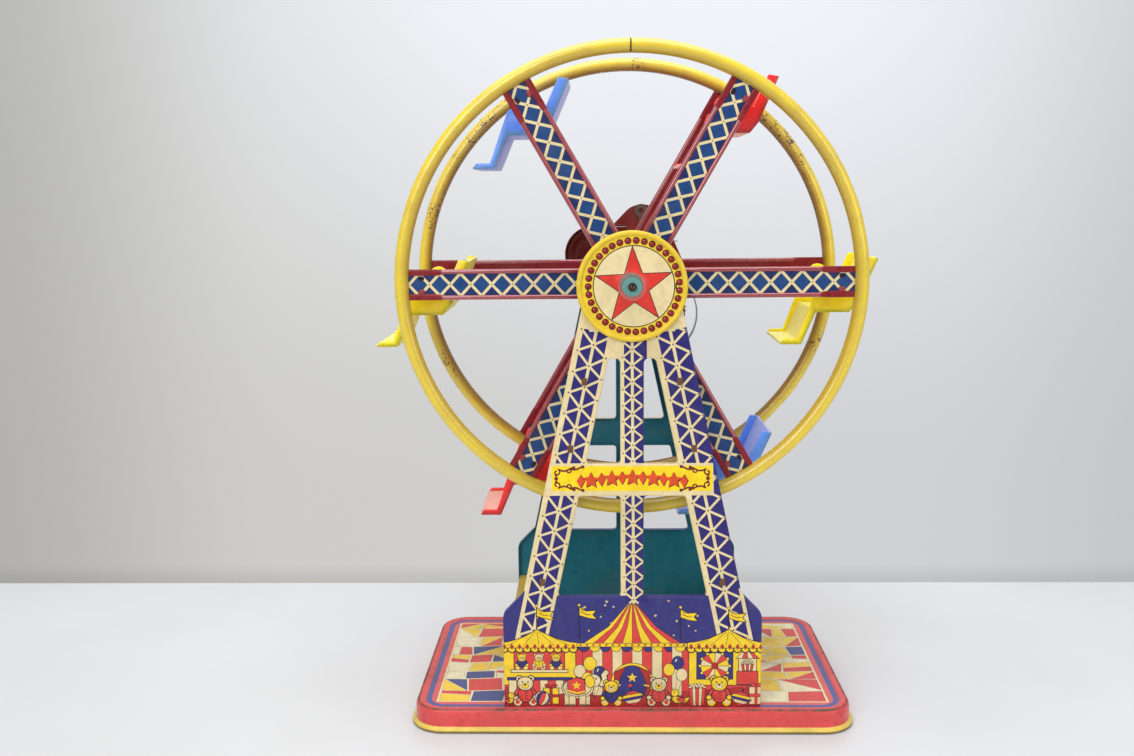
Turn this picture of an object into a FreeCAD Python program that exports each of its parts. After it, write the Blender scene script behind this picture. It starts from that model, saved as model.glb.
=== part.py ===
import FreeCAD, Part
import math
import os

import Sketcher

# Toy ferris wheel of pressed tin with a clockwork motor behind the rear tower.
# Millimetres, +Z up, X across the wheel, the wheel's axle along Y with its front end towards -Y.
# The origin is at the bottom centre of the whole toy. All sub-parts are drawn about the middle of
# the wheel and then moved, because the seats reach further left and the crank reaches further back.

SIZES = {
    # wheel
    "wheel_radius": 143.5, "tube_radius": 4.5, "tube_sheet": 0.5, "tube_seam": 1.1,
    "axle_height": 284.0, "wheel_offset": 50.0,
    "pivot_radius": 131.0, "spoke_width": 16.0, "spoke_sheet": 0.7, "spoke_start": 17.0,
    "spoke_end": 138.6, "spoke_tongue": 139.9, "fold_radius": 1.5, "fold_start": 27.0, "fold_length": 93.0,
    "lug_radius": 2.6, "lug_length": 3.0, "seat_axle_radius": 1.2,
    "axle_radius": 2.0, "hub_radius": 26.0, "hub_sheet": 1.0, "nave_radius": 5.0,
    # seats
    "seat_width": 58.0, "seat_side": 1.8, "seat_bore_radius": 1.28, "seat_ear_radius": 6.6,
    # base tray
    "base_length": 282.0, "base_depth": 162.0, "base_corner": 20.0, "deck_height": 15.0,
    "tray_sheet": 0.8, "border_width": 7.0, "border_rise": 0.8, "hem_reach": 2.5, "hem_height": 3.2,
    # towers
    "tower_offset": 74.0, "tower_flange": 4.5, "tower_sheet": 0.7, "tower_half": 82.0,
    "shoulder_low": 76.5, "shoulder_high": 90.0, "shoulder_inner": 68.9, "head_radius": 27.16,
    "window_low": 88.0, "window_high": 153.5, "slot_low": 174.0, "slot_high": 240.0,
    "post_half": 7.2, "slot_outer_low": 28.7, "slot_outer_high": 14.4,
    "window_outer_low": 47.2, "window_outer_high": 33.1,
    "side_wall_height": 51.0, "side_wall_half": 81.2, "side_wall_lip": 5.2,
    # star disc
    "disc_radius": 33.6, "disc_bead": 1.9, "disc_hole": 2.3,
    # motor
    "motor_gap": 2.0, "frame_sheet": 1.0, "frame_space": 20.0, "pillar_radius": 2.0,
    "great_x": 17.25, "great_z": -29.3, "second_x": 13.4, "second_z": 22.75,
    "fly_x": 28.2, "fly_z": 20.35, "bell_x": -23.3, "bell_z": 11.5, "bell_radius": 21.0,
    "arbor_radius": 2.5, "second_radius": 1.0, "fly_radius": 0.9, "running_gap": 0.05,
    "crank_length": 30.0, "knob_length": 11.0, "knob_radius": 4.5,
    # how far the toy reaches from the middle of the wheel
    "left_reach": 164.9, "right_reach": 158.6, "front_reach": 83.5, "rear_reach": 116.5,
}

doc = FreeCAD.newDocument("ferris_wheel")
sheet = doc.addObject("Spreadsheet::Sheet", "dims")
for row, (alias, value) in enumerate(SIZES.items(), start=1):
    sheet.set(f"A{row}", alias)
    sheet.set(f"B{row}", str(value))
    sheet.setAlias(f"B{row}", alias)
doc.recompute()

# Layers of the motor along Y, counted from the wheel's middle plane
TOWER_Y = SIZES["tower_offset"]
PLATE_FRONT = TOWER_Y + SIZES["motor_gap"]
FRAME_INSIDE = PLATE_FRONT + SIZES["frame_sheet"]
FRAME_BACK = FRAME_INSIDE + SIZES["frame_space"]
PLATE_BACK = FRAME_BACK + SIZES["frame_sheet"]
PIVOT_FRONT = PLATE_FRONT + 0.1
PIVOT_BACK = PLATE_BACK - 0.1

parts = []


def size(alias):
    """Value of one cell of the sheet."""
    return float(getattr(sheet, alias))


def number(term):
    """Value of a term: a plain number, an alias, or an alias with a minus sign."""
    if not isinstance(term, str):
        return term
    return -size(term[1:]) if term.startswith("-") else size(term)


def formula(term):
    """The expression for a term that names a cell."""
    return f"-dims.{term[1:]}" if term.startswith("-") else f"dims.{term}"


def vector(x, y, z):
    return FreeCAD.Vector(x, y, z)


# ---------------------------------------------------------------- sketches and bodies

def new_body(name):
    body = doc.addObject("PartDesign::Body", name)
    body.Label = name
    return body


def new_sketch(body, name, role, offset=0.0):
    """A sketch on one of the body's origin planes, moved along the plane's normal."""
    sketch = body.newObject("Sketcher::SketchObject", f"{body.Name}_{name}")
    plane = [f for f in body.Origin.OriginFeatures if f.Role == role][0]
    sketch.AttachmentSupport = [(plane, "")]
    sketch.MapMode = "FlatFace"
    sketch.AttachmentOffset = FreeCAD.Placement(vector(0, 0, offset), FreeCAD.Rotation())
    return sketch


def place_point(sketch, geometry, position, terms):
    """Hold one point of a sketch at its two coordinates; terms that name a cell stay bound to it."""
    for kind, axis, term in (("DistanceX", -2, terms[0]), ("DistanceY", -1, terms[1])):
        value = number(term)
        if abs(value) < 1e-9:
            sketch.addConstraint(Sketcher.Constraint("PointOnObject", geometry, position, axis))
            continue
        index = sketch.addConstraint(Sketcher.Constraint(kind, -1, 1, geometry, position, value))
        if isinstance(term, str):
            sketch.setExpression(f"Constraints[{index}]", formula(term))


def draw_polygon(sketch, points):
    """A closed outline of straight lines."""
    spots = [vector(number(x), number(y), 0) for x, y in points]
    first = sketch.GeometryCount
    for index, spot in enumerate(spots):
        sketch.addGeometry(Part.LineSegment(spot, spots[(index + 1) % len(spots)]), False)
    for index in range(len(spots)):
        following = first + (index + 1) % len(spots)
        sketch.addConstraint(Sketcher.Constraint("Coincident", first + index, 2, following, 1))
    for index, terms in enumerate(points):
        place_point(sketch, first + index, 1, terms)


def draw_circle(sketch, centre, radius):
    index = sketch.addGeometry(
        Part.Circle(vector(number(centre[0]), number(centre[1]), 0), vector(0, 0, 1), number(radius)), False)
    place_point(sketch, index, 3, centre)
    constraint = sketch.addConstraint(Sketcher.Constraint("Radius", index, number(radius)))
    if isinstance(radius, str):
        sketch.setExpression(f"Constraints[{constraint}]", formula(radius))


def draw_capsule_hull(sketch, circles):
    """The tight outline round circles given as (x, y, radius), listed counter-clockwise."""
    for start, end in hull_pieces(circles):
        if len(start) == 2:
            sketch.addGeometry(Part.LineSegment(vector(*start, 0), vector(*end, 0)), False)
        else:
            x, y, radius = start
            circle = Part.Circle(vector(x, y, 0), vector(0, 0, 1), radius)
            sketch.addGeometry(Part.ArcOfCircle(circle, end[0], end[1]), False)


def hull_pieces(circles):
    """Lines and arcs of the hull: (point, point) for a line, (circle, (angle, angle)) for an arc."""
    count = len(circles)
    normals = []
    for index, (x, y, radius) in enumerate(circles):
        next_x, next_y, next_radius = circles[(index + 1) % count]
        distance = math.hypot(next_x - x, next_y - y)
        along = math.atan2(next_y - y, next_x - x)
        normals.append(along - math.acos((radius - next_radius) / distance))
    pieces = []
    for index, (x, y, radius) in enumerate(circles):
        next_x, next_y, next_radius = circles[(index + 1) % count]
        angle = normals[index]
        before = normals[index - 1]
        while angle < before:
            angle += 2 * math.pi
        pieces.append(((x, y, radius), (before, angle)))
        unit = (math.cos(angle), math.sin(angle))
        pieces.append(((x + radius * unit[0], y + radius * unit[1]),
                       (next_x + next_radius * unit[0], next_y + next_radius * unit[1])))
    return pieces


def pad(body, sketch, length, reverse=False, middle=False):
    feature = body.newObject("PartDesign::Pad", f"{sketch.Name}_pad")
    feature.Profile = sketch
    feature.Length = number(length)
    if isinstance(length, str):
        feature.setExpression("Length", formula(length))
    feature.Reversed = reverse
    feature.Midplane = middle
    doc.recompute()
    body.Tip = feature
    return feature


def pocket(body, sketch, length=None, reverse=False, middle=False):
    """Cut a sketch into the body; with no length it goes through everything both ways."""
    before = body.Shape.Volume
    feature = body.newObject("PartDesign::Pocket", f"{sketch.Name}_pocket")
    feature.Profile = sketch
    if length is None:
        feature.Type = "ThroughAll"
        feature.Midplane = True
    else:
        feature.Length = number(length)
        if isinstance(length, str):
            feature.setExpression("Length", formula(length))
        feature.Midplane = middle
    feature.Reversed = reverse
    doc.recompute()
    body.Tip = feature
    assert feature.Shape.Volume < before - 1e-6, f"{sketch.Name} cut nothing"
    return feature


def revolve(body, sketch, axis):
    feature = body.newObject("PartDesign::Revolution", f"{sketch.Name}_revolution")
    feature.Profile = sketch
    feature.ReferenceAxis = (sketch, [axis])
    feature.Angle = 360.0
    doc.recompute()
    body.Tip = feature
    return feature


def edges_near(shape, test):
    return [f"Edge{i}" for i, edge in enumerate(shape.Edges, start=1) if test(edge)]


def fillet(body, radius, test):
    base = body.Tip
    feature = body.newObject("PartDesign::Fillet", f"{base.Name}_fillet")
    feature.Base = (base, edges_near(base.Shape, test))
    feature.Radius = number(radius)
    if isinstance(radius, str):
        feature.setExpression("Radius", formula(radius))
    doc.recompute()
    body.Tip = feature
    return feature


SHIFT_X = "(dims.left_reach - dims.right_reach) / 2"
SHIFT_Y = "(dims.front_reach - dims.rear_reach) / 2"


def spelled(term):
    """A term as part of an expression."""
    return formula(term) if isinstance(term, str) else f"({term})"


def locate(obj, x=0.0, y=0.0, z=0.0, rotation=None):
    """Place a sub-part, given about the middle of the wheel; terms that name a cell stay bound to it."""
    turn = rotation if rotation else FreeCAD.Rotation()
    obj.Placement = FreeCAD.Placement(vector(number(x), number(y), number(z)), turn)
    obj.setExpression("Placement.Base.x", f"{SHIFT_X} + {spelled(x)}")
    obj.setExpression("Placement.Base.y", f"{SHIFT_Y} + {spelled(y)}")
    if isinstance(z, str):
        obj.setExpression("Placement.Base.z", formula(z))


def keep(obj, name):
    obj.Label = name
    parts.append(obj)
    return obj


# ---------------------------------------------------------------- primitives along Y

ALONG_Y = FreeCAD.Rotation(vector(1, 0, 0), -90)


def rod(name, x, z, start, end, radius):
    """A cylinder along Y from start to end; x and z are counted from the axle."""
    cylinder = doc.addObject("Part::Cylinder", name)
    cylinder.Radius = number(radius)
    if isinstance(radius, str):
        cylinder.setExpression("Radius", formula(radius))
    cylinder.Height = end - start
    cylinder.Placement = FreeCAD.Placement(
        vector(number(x), start, size("axle_height") + number(z)), ALONG_Y)
    if isinstance(x, str):
        cylinder.setExpression("Placement.Base.x", formula(x))
    cylinder.setExpression("Placement.Base.z", f"dims.axle_height + {spelled(z)}")
    return cylinder


def fuse(name, shapes):
    joined = doc.addObject("Part::MultiFuse", name)
    joined.Shapes = shapes
    return joined


def cut(name, base, tool):
    result = doc.addObject("Part::Cut", name)
    result.Base = base
    result.Tool = tool
    return result


def group(name, shapes):
    """Separate solids that share one node."""
    compound = doc.addObject("Part::Compound", name)
    compound.Links = shapes
    return compound


def finish(obj, name):
    """Name a sub-part made of primitives and move it with the others."""
    obj.setExpression("Placement.Base.x", SHIFT_X)
    obj.setExpression("Placement.Base.y", SHIFT_Y)
    return keep(obj, name)


# ---------------------------------------------------------------- base tray and side walls

def vertical(edge):
    """True for a straight edge along Z."""
    ends = [v.Point for v in edge.Vertexes]
    return len(ends) == 2 and (ends[1] - ends[0]).normalize().cross(vector(0, 0, 1)).Length < 1e-6


def rectangle(half_x, half_y):
    return [(-half_x, -half_y), (half_x, -half_y), (half_x, half_y), (-half_x, half_y)]


def rounded_corners(half_x, half_y, radius):
    """The four corner circles of a rounded rectangle, counter-clockwise from the lower left."""
    return [(x, y, radius) for x, y in rectangle(half_x - radius, half_y - radius)]


TAB_PLACES = (-60.0, 0.0, 60.0)
TAB_WIDTH = 8.0
TAB_DEPTH = 4.0


def make_base_tray():
    body = new_body("base_tray")
    half_x = size("base_length") / 2
    half_y = size("base_depth") / 2
    wall = size("tray_sheet")
    outline = new_sketch(body, "outline", "XY_Plane")
    draw_polygon(outline, rectangle(half_x, half_y))
    pad(body, outline, "deck_height")
    fillet(body, "base_corner", vertical)
    top = size("deck_height")
    fillet(body, 3.0, lambda e: min(v.Z for v in e.Vertexes) > top - 0.01)
    # the rolled hem round the foot of the wall
    hem = new_sketch(body, "hem", "XY_Plane")
    reach = size("hem_reach")
    draw_polygon(hem, rectangle(half_x + reach, half_y + reach))
    pad(body, hem, "hem_height")
    fillet(body, size("base_corner") + reach,
           lambda e: vertical(e) and abs(e.Vertexes[0].X) > half_x + reach - 0.01)
    height = size("hem_height")
    fillet(body, 1.5, lambda e: abs(e.BoundBox.ZMin - height) < 0.01 and abs(e.BoundBox.ZMax - height) < 0.01
           and max(abs(e.BoundBox.XMax) - half_x, abs(e.BoundBox.YMax) - half_y) > 1.0)
    # the panel inside the raised border
    panel = new_sketch(body, "panel", "XY_Plane", top)
    border = size("border_width")
    draw_capsule_hull(panel, rounded_corners(half_x - border, half_y - border, size("base_corner") - border))
    pocket(body, panel, "border_rise")
    # the hollow underside
    hollow = new_sketch(body, "hollow", "XY_Plane")
    draw_capsule_hull(hollow, rounded_corners(half_x - wall, half_y - wall, size("base_corner") - wall))
    pocket(body, hollow, top - size("border_rise") - wall, reverse=True)
    # slots for the tabs of the towers
    slots = new_sketch(body, "slots", "XY_Plane", top)
    middle = size("tower_offset") - size("tower_sheet") / 2
    for side in (-1, 1):
        for place in TAB_PLACES:
            points = [(place + px, side * middle + py) for px, py in rectangle(TAB_WIDTH / 2 + 0.3, 0.65)]
            draw_polygon(slots, points)
    pocket(body, slots, 4.0)
    locate(body)
    keep(body, "base_tray")


def make_side_wall(name, side):
    """A plain wall between the lower panels, with its top edge turned inwards."""
    body = new_body(name)
    sheet_metal = 0.7
    profile = new_sketch(body, "profile", "XZ_Plane")
    outer = size("side_wall_half")
    top = size("side_wall_height")
    foot = size("deck_height") - size("border_rise")
    points = [(outer, foot), (outer, top), (outer - size("side_wall_lip"), top),
              (outer - size("side_wall_lip"), top - sheet_metal), (outer - sheet_metal, top - sheet_metal),
              (outer - sheet_metal, foot)]
    draw_polygon(profile, [(side * x, z) for x, z in points])
    pad(body, profile, 2 * (size("tower_offset") - size("tower_sheet")) - 0.6, middle=True)
    locate(body)
    keep(body, name)


# ---------------------------------------------------------------- towers

LEG_SLOPE = (SIZES["shoulder_inner"] - 33.5) / (257.0 - SIZES["shoulder_high"])
LEG_ANGLE = math.degrees(math.atan(LEG_SLOPE))
CHANNEL_TABS = (96.0, 182.0, 224.0)
RIVETS = ((-22.0, -22.0), (0.0, 20.0), (22.0, -18.0))


def leg_outer(z):
    """Half width of the tower's legs at height z."""
    return size("shoulder_inner") - LEG_SLOPE * (z - size("shoulder_high"))


def leg_centre(z):
    inner_slope = (size("window_outer_low") - size("slot_outer_high")) / (size("slot_high") - size("window_low"))
    inner = size("window_outer_low") - inner_slope * (z - size("window_low"))
    return (leg_outer(z) + inner) / 2


def make_tower(name, rear):
    """A pressed panel: rounded head, two legs, centre post, cross band and shouldered lower panel."""
    body = new_body(name)
    lean = math.radians(LEG_ANGLE)
    height = size("axle_height")
    tangent_x = size("head_radius") * math.cos(lean)
    tangent_z = height + size("head_radius") * math.sin(lean)
    outline = new_sketch(body, "outline", "XZ_Plane")
    foot = size("deck_height") - size("border_rise")
    draw_polygon(outline, [
        ("tower_half", foot), ("tower_half", "shoulder_low"), ("shoulder_inner", "shoulder_high"),
        (tangent_x, tangent_z), (-tangent_x, tangent_z),
        ("-shoulder_inner", "shoulder_high"), ("-tower_half", "shoulder_low"), ("-tower_half", foot)])
    pad(body, outline, "tower_flange", reverse=True)
    head = new_sketch(body, "head", "XZ_Plane")
    draw_circle(head, (0.0, "axle_height"), "head_radius")
    pad(body, head, "tower_flange", reverse=True)
    for corner_z, radius in (("shoulder_low", 8.0), ("shoulder_high", 6.0)):
        level = size(corner_z)
        fillet(body, radius, lambda e: len(e.Vertexes) == 2 and e.BoundBox.YLength > 4.0
               and abs(e.BoundBox.ZMin - level) < 0.01 and e.BoundBox.ZLength < 0.01)
    # windows between the legs and the post
    windows = new_sketch(body, "windows", "XZ_Plane")
    for sign in ("", "-"):
        draw_polygon(windows, [(f"{sign}post_half", "slot_low"), (f"{sign}slot_outer_low", "slot_low"),
                               (f"{sign}slot_outer_high", "slot_high"), (f"{sign}post_half", "slot_high")])
        draw_polygon(windows, [(f"{sign}post_half", "window_low"), (f"{sign}window_outer_low", "window_low"),
                               (f"{sign}window_outer_high", "window_high"), (f"{sign}post_half", "window_high")])
    pocket(body, windows)
    for edge_z, radius in (("slot_low", 2.2), ("slot_high", 3.2), ("window_low", 2.2), ("window_high", 2.2)):
        level = size(edge_z)
        fillet(body, radius, lambda e: len(e.Vertexes) == 2 and e.BoundBox.YLength > 4.0
               and e.BoundBox.XLength < 0.01 and e.BoundBox.ZLength < 0.01
               and abs(e.BoundBox.ZMin - level) < 0.01)
    # hollow the panel from behind, which leaves turned edges all round but at the foot
    base = body.Tip
    depth = size("tower_flange")
    back = [f"Face{i}" for i, f in enumerate(base.Shape.Faces, start=1)
            if f.BoundBox.YMin > depth - 0.01 or f.BoundBox.ZMax < foot + 0.01]
    shell = body.newObject("PartDesign::Thickness", f"{name}_shell")
    shell.Base = (base, back)
    shell.Value = size("tower_sheet")
    shell.setExpression("Value", "dims.tower_sheet")
    shell.Reversed = True
    shell.Join = 1
    doc.recompute()
    body.Tip = shell
    # holes for the bush, the motor's rivets and the tabs of the leg channels
    holes = new_sketch(body, "holes", "XZ_Plane")
    draw_circle(holes, (0.0, "axle_height"), 3.0)
    if rear:
        for x, z in RIVETS:
            draw_circle(holes, (-x, height + z), 1.5)
    for side in (-1, 1):
        for z in CHANNEL_TABS:
            centre = side * leg_centre(z)
            draw_polygon(holes, [(centre + px, z + pz) for px, pz in rectangle(2.0, 0.8)])
    pocket(body, holes)
    # tabs through the deck
    tabs = new_sketch(body, "tabs", "XZ_Plane")
    for place in TAB_PLACES:
        draw_polygon(tabs, [(place - TAB_WIDTH / 2, foot - TAB_DEPTH), (place + TAB_WIDTH / 2, foot - TAB_DEPTH),
                            (place + TAB_WIDTH / 2, foot + 1.0), (place - TAB_WIDTH / 2, foot + 1.0)])
    pad(body, tabs, "tower_sheet", reverse=True)
    if rear:
        locate(body, y="tower_offset", rotation=FreeCAD.Rotation(vector(0, 0, 1), 180))
    else:
        locate(body, y="-tower_offset")
    keep(body, name)


def make_leg_channels(name, side):
    """Stiffening channels behind the two legs, held by tabs folded over on the printed face."""
    low, high = CHANNEL_TABS[0] - 2.0, CHANNEL_TABS[-1] + 3.0
    channels = []
    face = size("tower_offset")
    inner = face - size("tower_sheet")
    for lean in (-1, 1):
        slope = (leg_centre(low) - leg_centre(high)) / (high - low)
        turn = FreeCAD.Rotation(vector(0, 1, 0), -lean * math.degrees(math.atan(slope)))
        length = (high - low) * math.hypot(1.0, slope)
        label = f"{name}_{'right' if lean > 0 else 'left'}"
        pieces = []
        for tag, half, start, end in (("web", 4.0, inner - 3.0, inner - 2.3),
                                      ("lip_a", 0.35, inner - 3.0, inner), ("lip_b", 0.35, inner - 3.0, inner)):
            box = doc.addObject("Part::Box", f"{label}_{tag}")
            box.Length = 2 * half
            box.Width = end - start
            box.Height = length
            offset = {"web": 0.0, "lip_a": -3.65, "lip_b": 3.65}[tag]
            near = start if side > 0 else -end
            corner = turn.multVec(vector(offset - half, 0, 0))
            box.Placement = FreeCAD.Placement(
                vector(lean * leg_centre(low) + corner.x, near, low + corner.z), turn)
            pieces.append(box)
        for index, z in enumerate(CHANNEL_TABS):
            for tag, half_x, low_z, high_z, start, end in (("tab", 1.7, -0.5, 0.5, inner - 2.6, face + 0.5),
                                                           ("fold", 1.7, -0.5, 4.0, face, face + 0.5)):
                box = doc.addObject("Part::Box", f"{label}_{tag}_{index}")
                box.Length = 2 * half_x
                box.Width = end - start
                box.Height = high_z - low_z
                near = start if side > 0 else -end
                box.Placement.Base = vector(lean * leg_centre(z) - half_x, near, z + low_z)
                pieces.append(box)
        channels.append(fuse(label, pieces))
    finish(group(name, channels), name)


def make_star_disc():
    """Dished disc with a raised boss and a rolled rim, on the head of the front tower."""
    body = new_body("front_star_disc")
    face = size("tower_offset")
    bead = size("disc_bead")
    bead_centre = size("disc_radius") - bead
    profile = new_sketch(body, "profile", "XY_Plane")
    field = face + 1.6
    boss = face + 3.8
    sheet_metal = 0.7
    draw_polygon(profile, [
        ("disc_hole", -boss), (7.0, -boss), (11.0, -field), (bead_centre, -field),
        (bead_centre, -field + sheet_metal), (10.6, -field + sheet_metal), (6.6, -boss + sheet_metal),
        ("disc_hole", -boss + sheet_metal)])
    revolve(body, profile, "V_Axis")
    rim = new_sketch(body, "rim", "XY_Plane")
    draw_circle(rim, (bead_centre, -face - bead), "disc_bead")
    revolve(body, rim, "V_Axis")
    locate(body, z="axle_height")
    keep(body, "front_star_disc")


# ---------------------------------------------------------------- wheel

def radial(angle):
    """Rotation that turns local +X to the given angle, counter-clockwise seen from the front."""
    return FreeCAD.Rotation(vector(0, -1, 0), angle)


SPOKE_ANGLES = (0, 60, 120, 180, 240, 300)


def make_rim(name, side):
    """A rolled tube whose open seam faces the hub and takes the spokes' ends."""
    body = new_body(name)
    profile = new_sketch(body, "profile", "XY_Plane")
    ring = size("wheel_radius")
    outer = size("tube_radius")
    inner = outer - size("tube_sheet")
    half_seam = size("tube_seam") / 2
    for radius in (outer, inner):
        opening = math.pi - math.asin(half_seam / radius)
        circle = Part.Circle(vector(ring, 0, 0), vector(0, 0, 1), radius)
        arc = profile.addGeometry(Part.ArcOfCircle(circle, -opening, opening), False)
        place_point(profile, arc, 3, ("wheel_radius", 0.0))
        constraint = profile.addConstraint(Sketcher.Constraint("Radius", arc, radius))
        profile.setExpression(f"Constraints[{constraint}]",
                              "dims.tube_radius" if radius == outer else "dims.tube_radius - dims.tube_sheet")
    for end, sign in ((1, -1), (2, 1)):
        spots = [vector(ring - math.sqrt(r * r - half_seam ** 2), sign * half_seam, 0) for r in (outer, inner)]
        edge = profile.addGeometry(Part.LineSegment(*spots), False)
        profile.addConstraint(Sketcher.Constraint("Coincident", edge, 1, 0, end))
        profile.addConstraint(Sketcher.Constraint("Coincident", edge, 2, 1, end))
        profile.addConstraint(Sketcher.Constraint("Horizontal", edge))
        constraint = profile.addConstraint(
            Sketcher.Constraint("DistanceY", -1, 1, edge, 1, sign * half_seam))
        profile.setExpression(f"Constraints[{constraint}]", f"{sign} * dims.tube_seam / 2")
    revolve(body, profile, "V_Axis")
    locate(body, y="wheel_offset" if side > 0 else "-wheel_offset", z="axle_height")
    keep(body, name)


def make_spoke(name, side, angle):
    """A strip with turned edges, flattened at the rim, with a pivot lug on its inner side."""
    body = new_body(name)
    half = size("spoke_width") / 2
    flat_start = size("fold_start") + size("fold_length")
    strip = new_sketch(body, "strip", "XZ_Plane")
    draw_polygon(strip, [("spoke_start", -half), ("spoke_tongue", -half), ("spoke_tongue", half),
                         ("spoke_start", half)])
    pad(body, strip, "spoke_sheet", middle=True)
    folds = new_sketch(body, "folds", "YZ_Plane", size("fold_start"))
    for edge in (-1, 1):
        draw_circle(folds, (0.0, edge * half), "fold_radius")
    pad(body, folds, "fold_length")
    ends = new_sketch(body, "ends", "XZ_Plane", 1.0)
    for edge in (-1, 1):
        draw_polygon(ends, [(flat_start, edge * (half - 1.4)), ("spoke_end", edge * (half - 1.4)),
                            ("spoke_end", edge * (half + 1.6)), (flat_start, edge * (half + 1.6))])
    pad(body, ends, 1.35, reverse=True)
    lug = new_sketch(body, "lug", "XZ_Plane")
    draw_circle(lug, ("pivot_radius", 0.0), "lug_radius")
    pad(body, lug, size("lug_length") + size("spoke_sheet") / 2, reverse=True)
    bore = new_sketch(body, "bore", "XZ_Plane", -size("spoke_sheet") / 2)
    draw_circle(bore, ("pivot_radius", 0.0), "seat_axle_radius")
    pocket(body, bore, "lug_length")
    slots = new_sketch(body, "slots", "XZ_Plane")
    for edge in (-1, 1):
        draw_polygon(slots, [(size("pivot_radius") + px, edge * 4.9 + pz) for px, pz in rectangle(1.6, 1.2)])
    pocket(body, slots)
    flip = FreeCAD.Rotation(vector(1, 0, 0), 180) if side > 0 else FreeCAD.Rotation()
    locate(body, y="wheel_offset" if side > 0 else "-wheel_offset", z="axle_height",
           rotation=radial(angle).multiply(flip))
    keep(body, name)


def make_hub(name, side):
    """Two riveted hub plates on a nave that sits on the axle."""
    body = new_body(name)
    plane = size("wheel_offset")
    strip = size("spoke_sheet") / 2
    plate = size("hub_sheet")
    radius = size("hub_radius")
    inner = size("spoke_start") - 0.1
    points = [(plane + strip + plate + 2.6, "axle_radius", 6.0), (plane + strip + plate, 6.0, radius),
              (plane + strip, radius, inner), (plane - strip, inner, radius),
              (plane - strip - plate, radius, "nave_radius"), (40.0, "nave_radius", "axle_radius")]
    outline = []
    for depth, first, second in points:
        outline.append((first, side * depth))
        outline.append((second, side * depth))
    profile = new_sketch(body, "profile", "XY_Plane")
    draw_polygon(profile, outline)
    revolve(body, profile, "V_Axis")
    locate(body, z="axle_height")
    keep(body, name)


def make_wheel_axles():
    tube = cut("hub_tube", rod("hub_tube_outer", 0, 0, -39.9, 39.9, 3.2), rod("hub_tube_bore", 0, 0, -39.9, 39.9,
                                                                              "axle_radius"))
    finish(tube, "hub_tube")
    tip = -size("tower_offset") - 7.2
    shaft = rod("main_axle_shaft", 0, 0, tip, PLATE_BACK + 0.8, "axle_radius")
    split = doc.addObject("Part::Box", "main_axle_split")
    split.Length = 0.8
    split.Width = 2.0
    split.Height = 6.0
    split.Placement.Base = vector(-0.4, tip - 0.01, size("axle_height") - 3.0)
    finish(cut("main_axle", shaft, split), "main_axle")
    washer_back = -size("tower_offset") - 4.1
    washer = cut("axle_washer", rod("axle_washer_disc", 0, 0, washer_back - 0.9, washer_back, 5.9),
                 rod("axle_washer_hole", 0, 0, washer_back - 0.9, washer_back, "axle_radius"))
    finish(washer, "axle_washer")
    bushes = []
    for side, tag in ((-1, "front"), (1, "rear")):
        face = size("tower_offset")
        spans = [(face - 0.1, face - 8.0, 3.0), (face - size("tower_sheet"), face - 1.6, 4.8)]
        solids = [rod(f"{tag}_bush_{i}", 0, 0, min(side * a, side * b), max(side * a, side * b), r)
                  for i, (a, b, r) in enumerate(spans)]
        bore = rod(f"{tag}_bush_bore", 0, 0, -100.0, 100.0, size("axle_radius") + size("running_gap"))
        bushes.append(cut(f"{tag}_bush", fuse(f"{tag}_bush_solid", solids), bore))
    finish(group("axle_bushes", bushes), "axle_bushes")
    end = size("wheel_offset") - size("spoke_sheet") / 2
    collar = size("seat_width") / 2 + 0.5
    axles = []
    for angle in SPOKE_ANGLES:
        x = size("pivot_radius") * math.cos(math.radians(angle))
        z = size("pivot_radius") * math.sin(math.radians(angle))
        pieces = [rod(f"seat_axle_{angle}_rod", x, z, -end, end, "seat_axle_radius"),
                  rod(f"seat_axle_{angle}_front", x, z, -collar - 1.0, -collar, 2.2),
                  rod(f"seat_axle_{angle}_rear", x, z, collar, collar + 1.0, 2.2)]
        axles.append(fuse(f"seat_axle_{angle}", pieces))
    finish(group("seat_axles", axles), "seat_axles")


# ---------------------------------------------------------------- seats

SEAT_TIP = (-33.9, -42.0)
SEAT_HEEL = (-20.3, -42.0)
SEAT_KNEE = (-11.4, -21.3)
SEAT_BASE = (10.1, -21.3)
SEAT_HIP = (15.6, -14.5)
SEAT_TOP = (27.6, 13.0)


def make_seat(name, angle):
    """Back, seat, leg panel and footrest between two side plates; it hangs level from its ears."""
    body = new_body(name)
    wall = size("seat_side")
    spine = [SEAT_TIP, SEAT_HEEL, SEAT_KNEE, SEAT_BASE, SEAT_HIP, SEAT_TOP]
    panel = new_sketch(body, "panel", "XZ_Plane")
    draw_polygon(panel, spine + list(reversed(offset_path(spine, wall))))
    pad(body, panel, "seat_width", middle=True)
    half = size("seat_width") / 2
    for tag, start in (("front", half - wall), ("rear", -half)):
        side = new_sketch(body, f"side_{tag}", "XZ_Plane", start)
        draw_polygon(side, [SEAT_TIP, SEAT_HEEL, SEAT_KNEE, SEAT_BASE, SEAT_HIP, SEAT_TOP, (20.9, 14.2),
                            (12.1, -5.4), (5.0, -2.5), (-5.0, -2.5), (-11.3, -6.4), (-23.0, -38.4), (-31.9, -38.4)])
        pad(body, side, wall)
        ear = new_sketch(body, f"ear_{tag}", "XZ_Plane", start)
        draw_circle(ear, (0.0, 0.0), "seat_ear_radius")
        pad(body, ear, wall)
    bore = new_sketch(body, "bore", "XZ_Plane")
    draw_circle(bore, (0.0, 0.0), "seat_bore_radius")
    pocket(body, bore)
    x = size("pivot_radius") * math.cos(math.radians(angle))
    z = size("pivot_radius") * math.sin(math.radians(angle))
    locate(body, x=x, y=0.0, z=size("axle_height") + z)
    keep(body, name)


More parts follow.
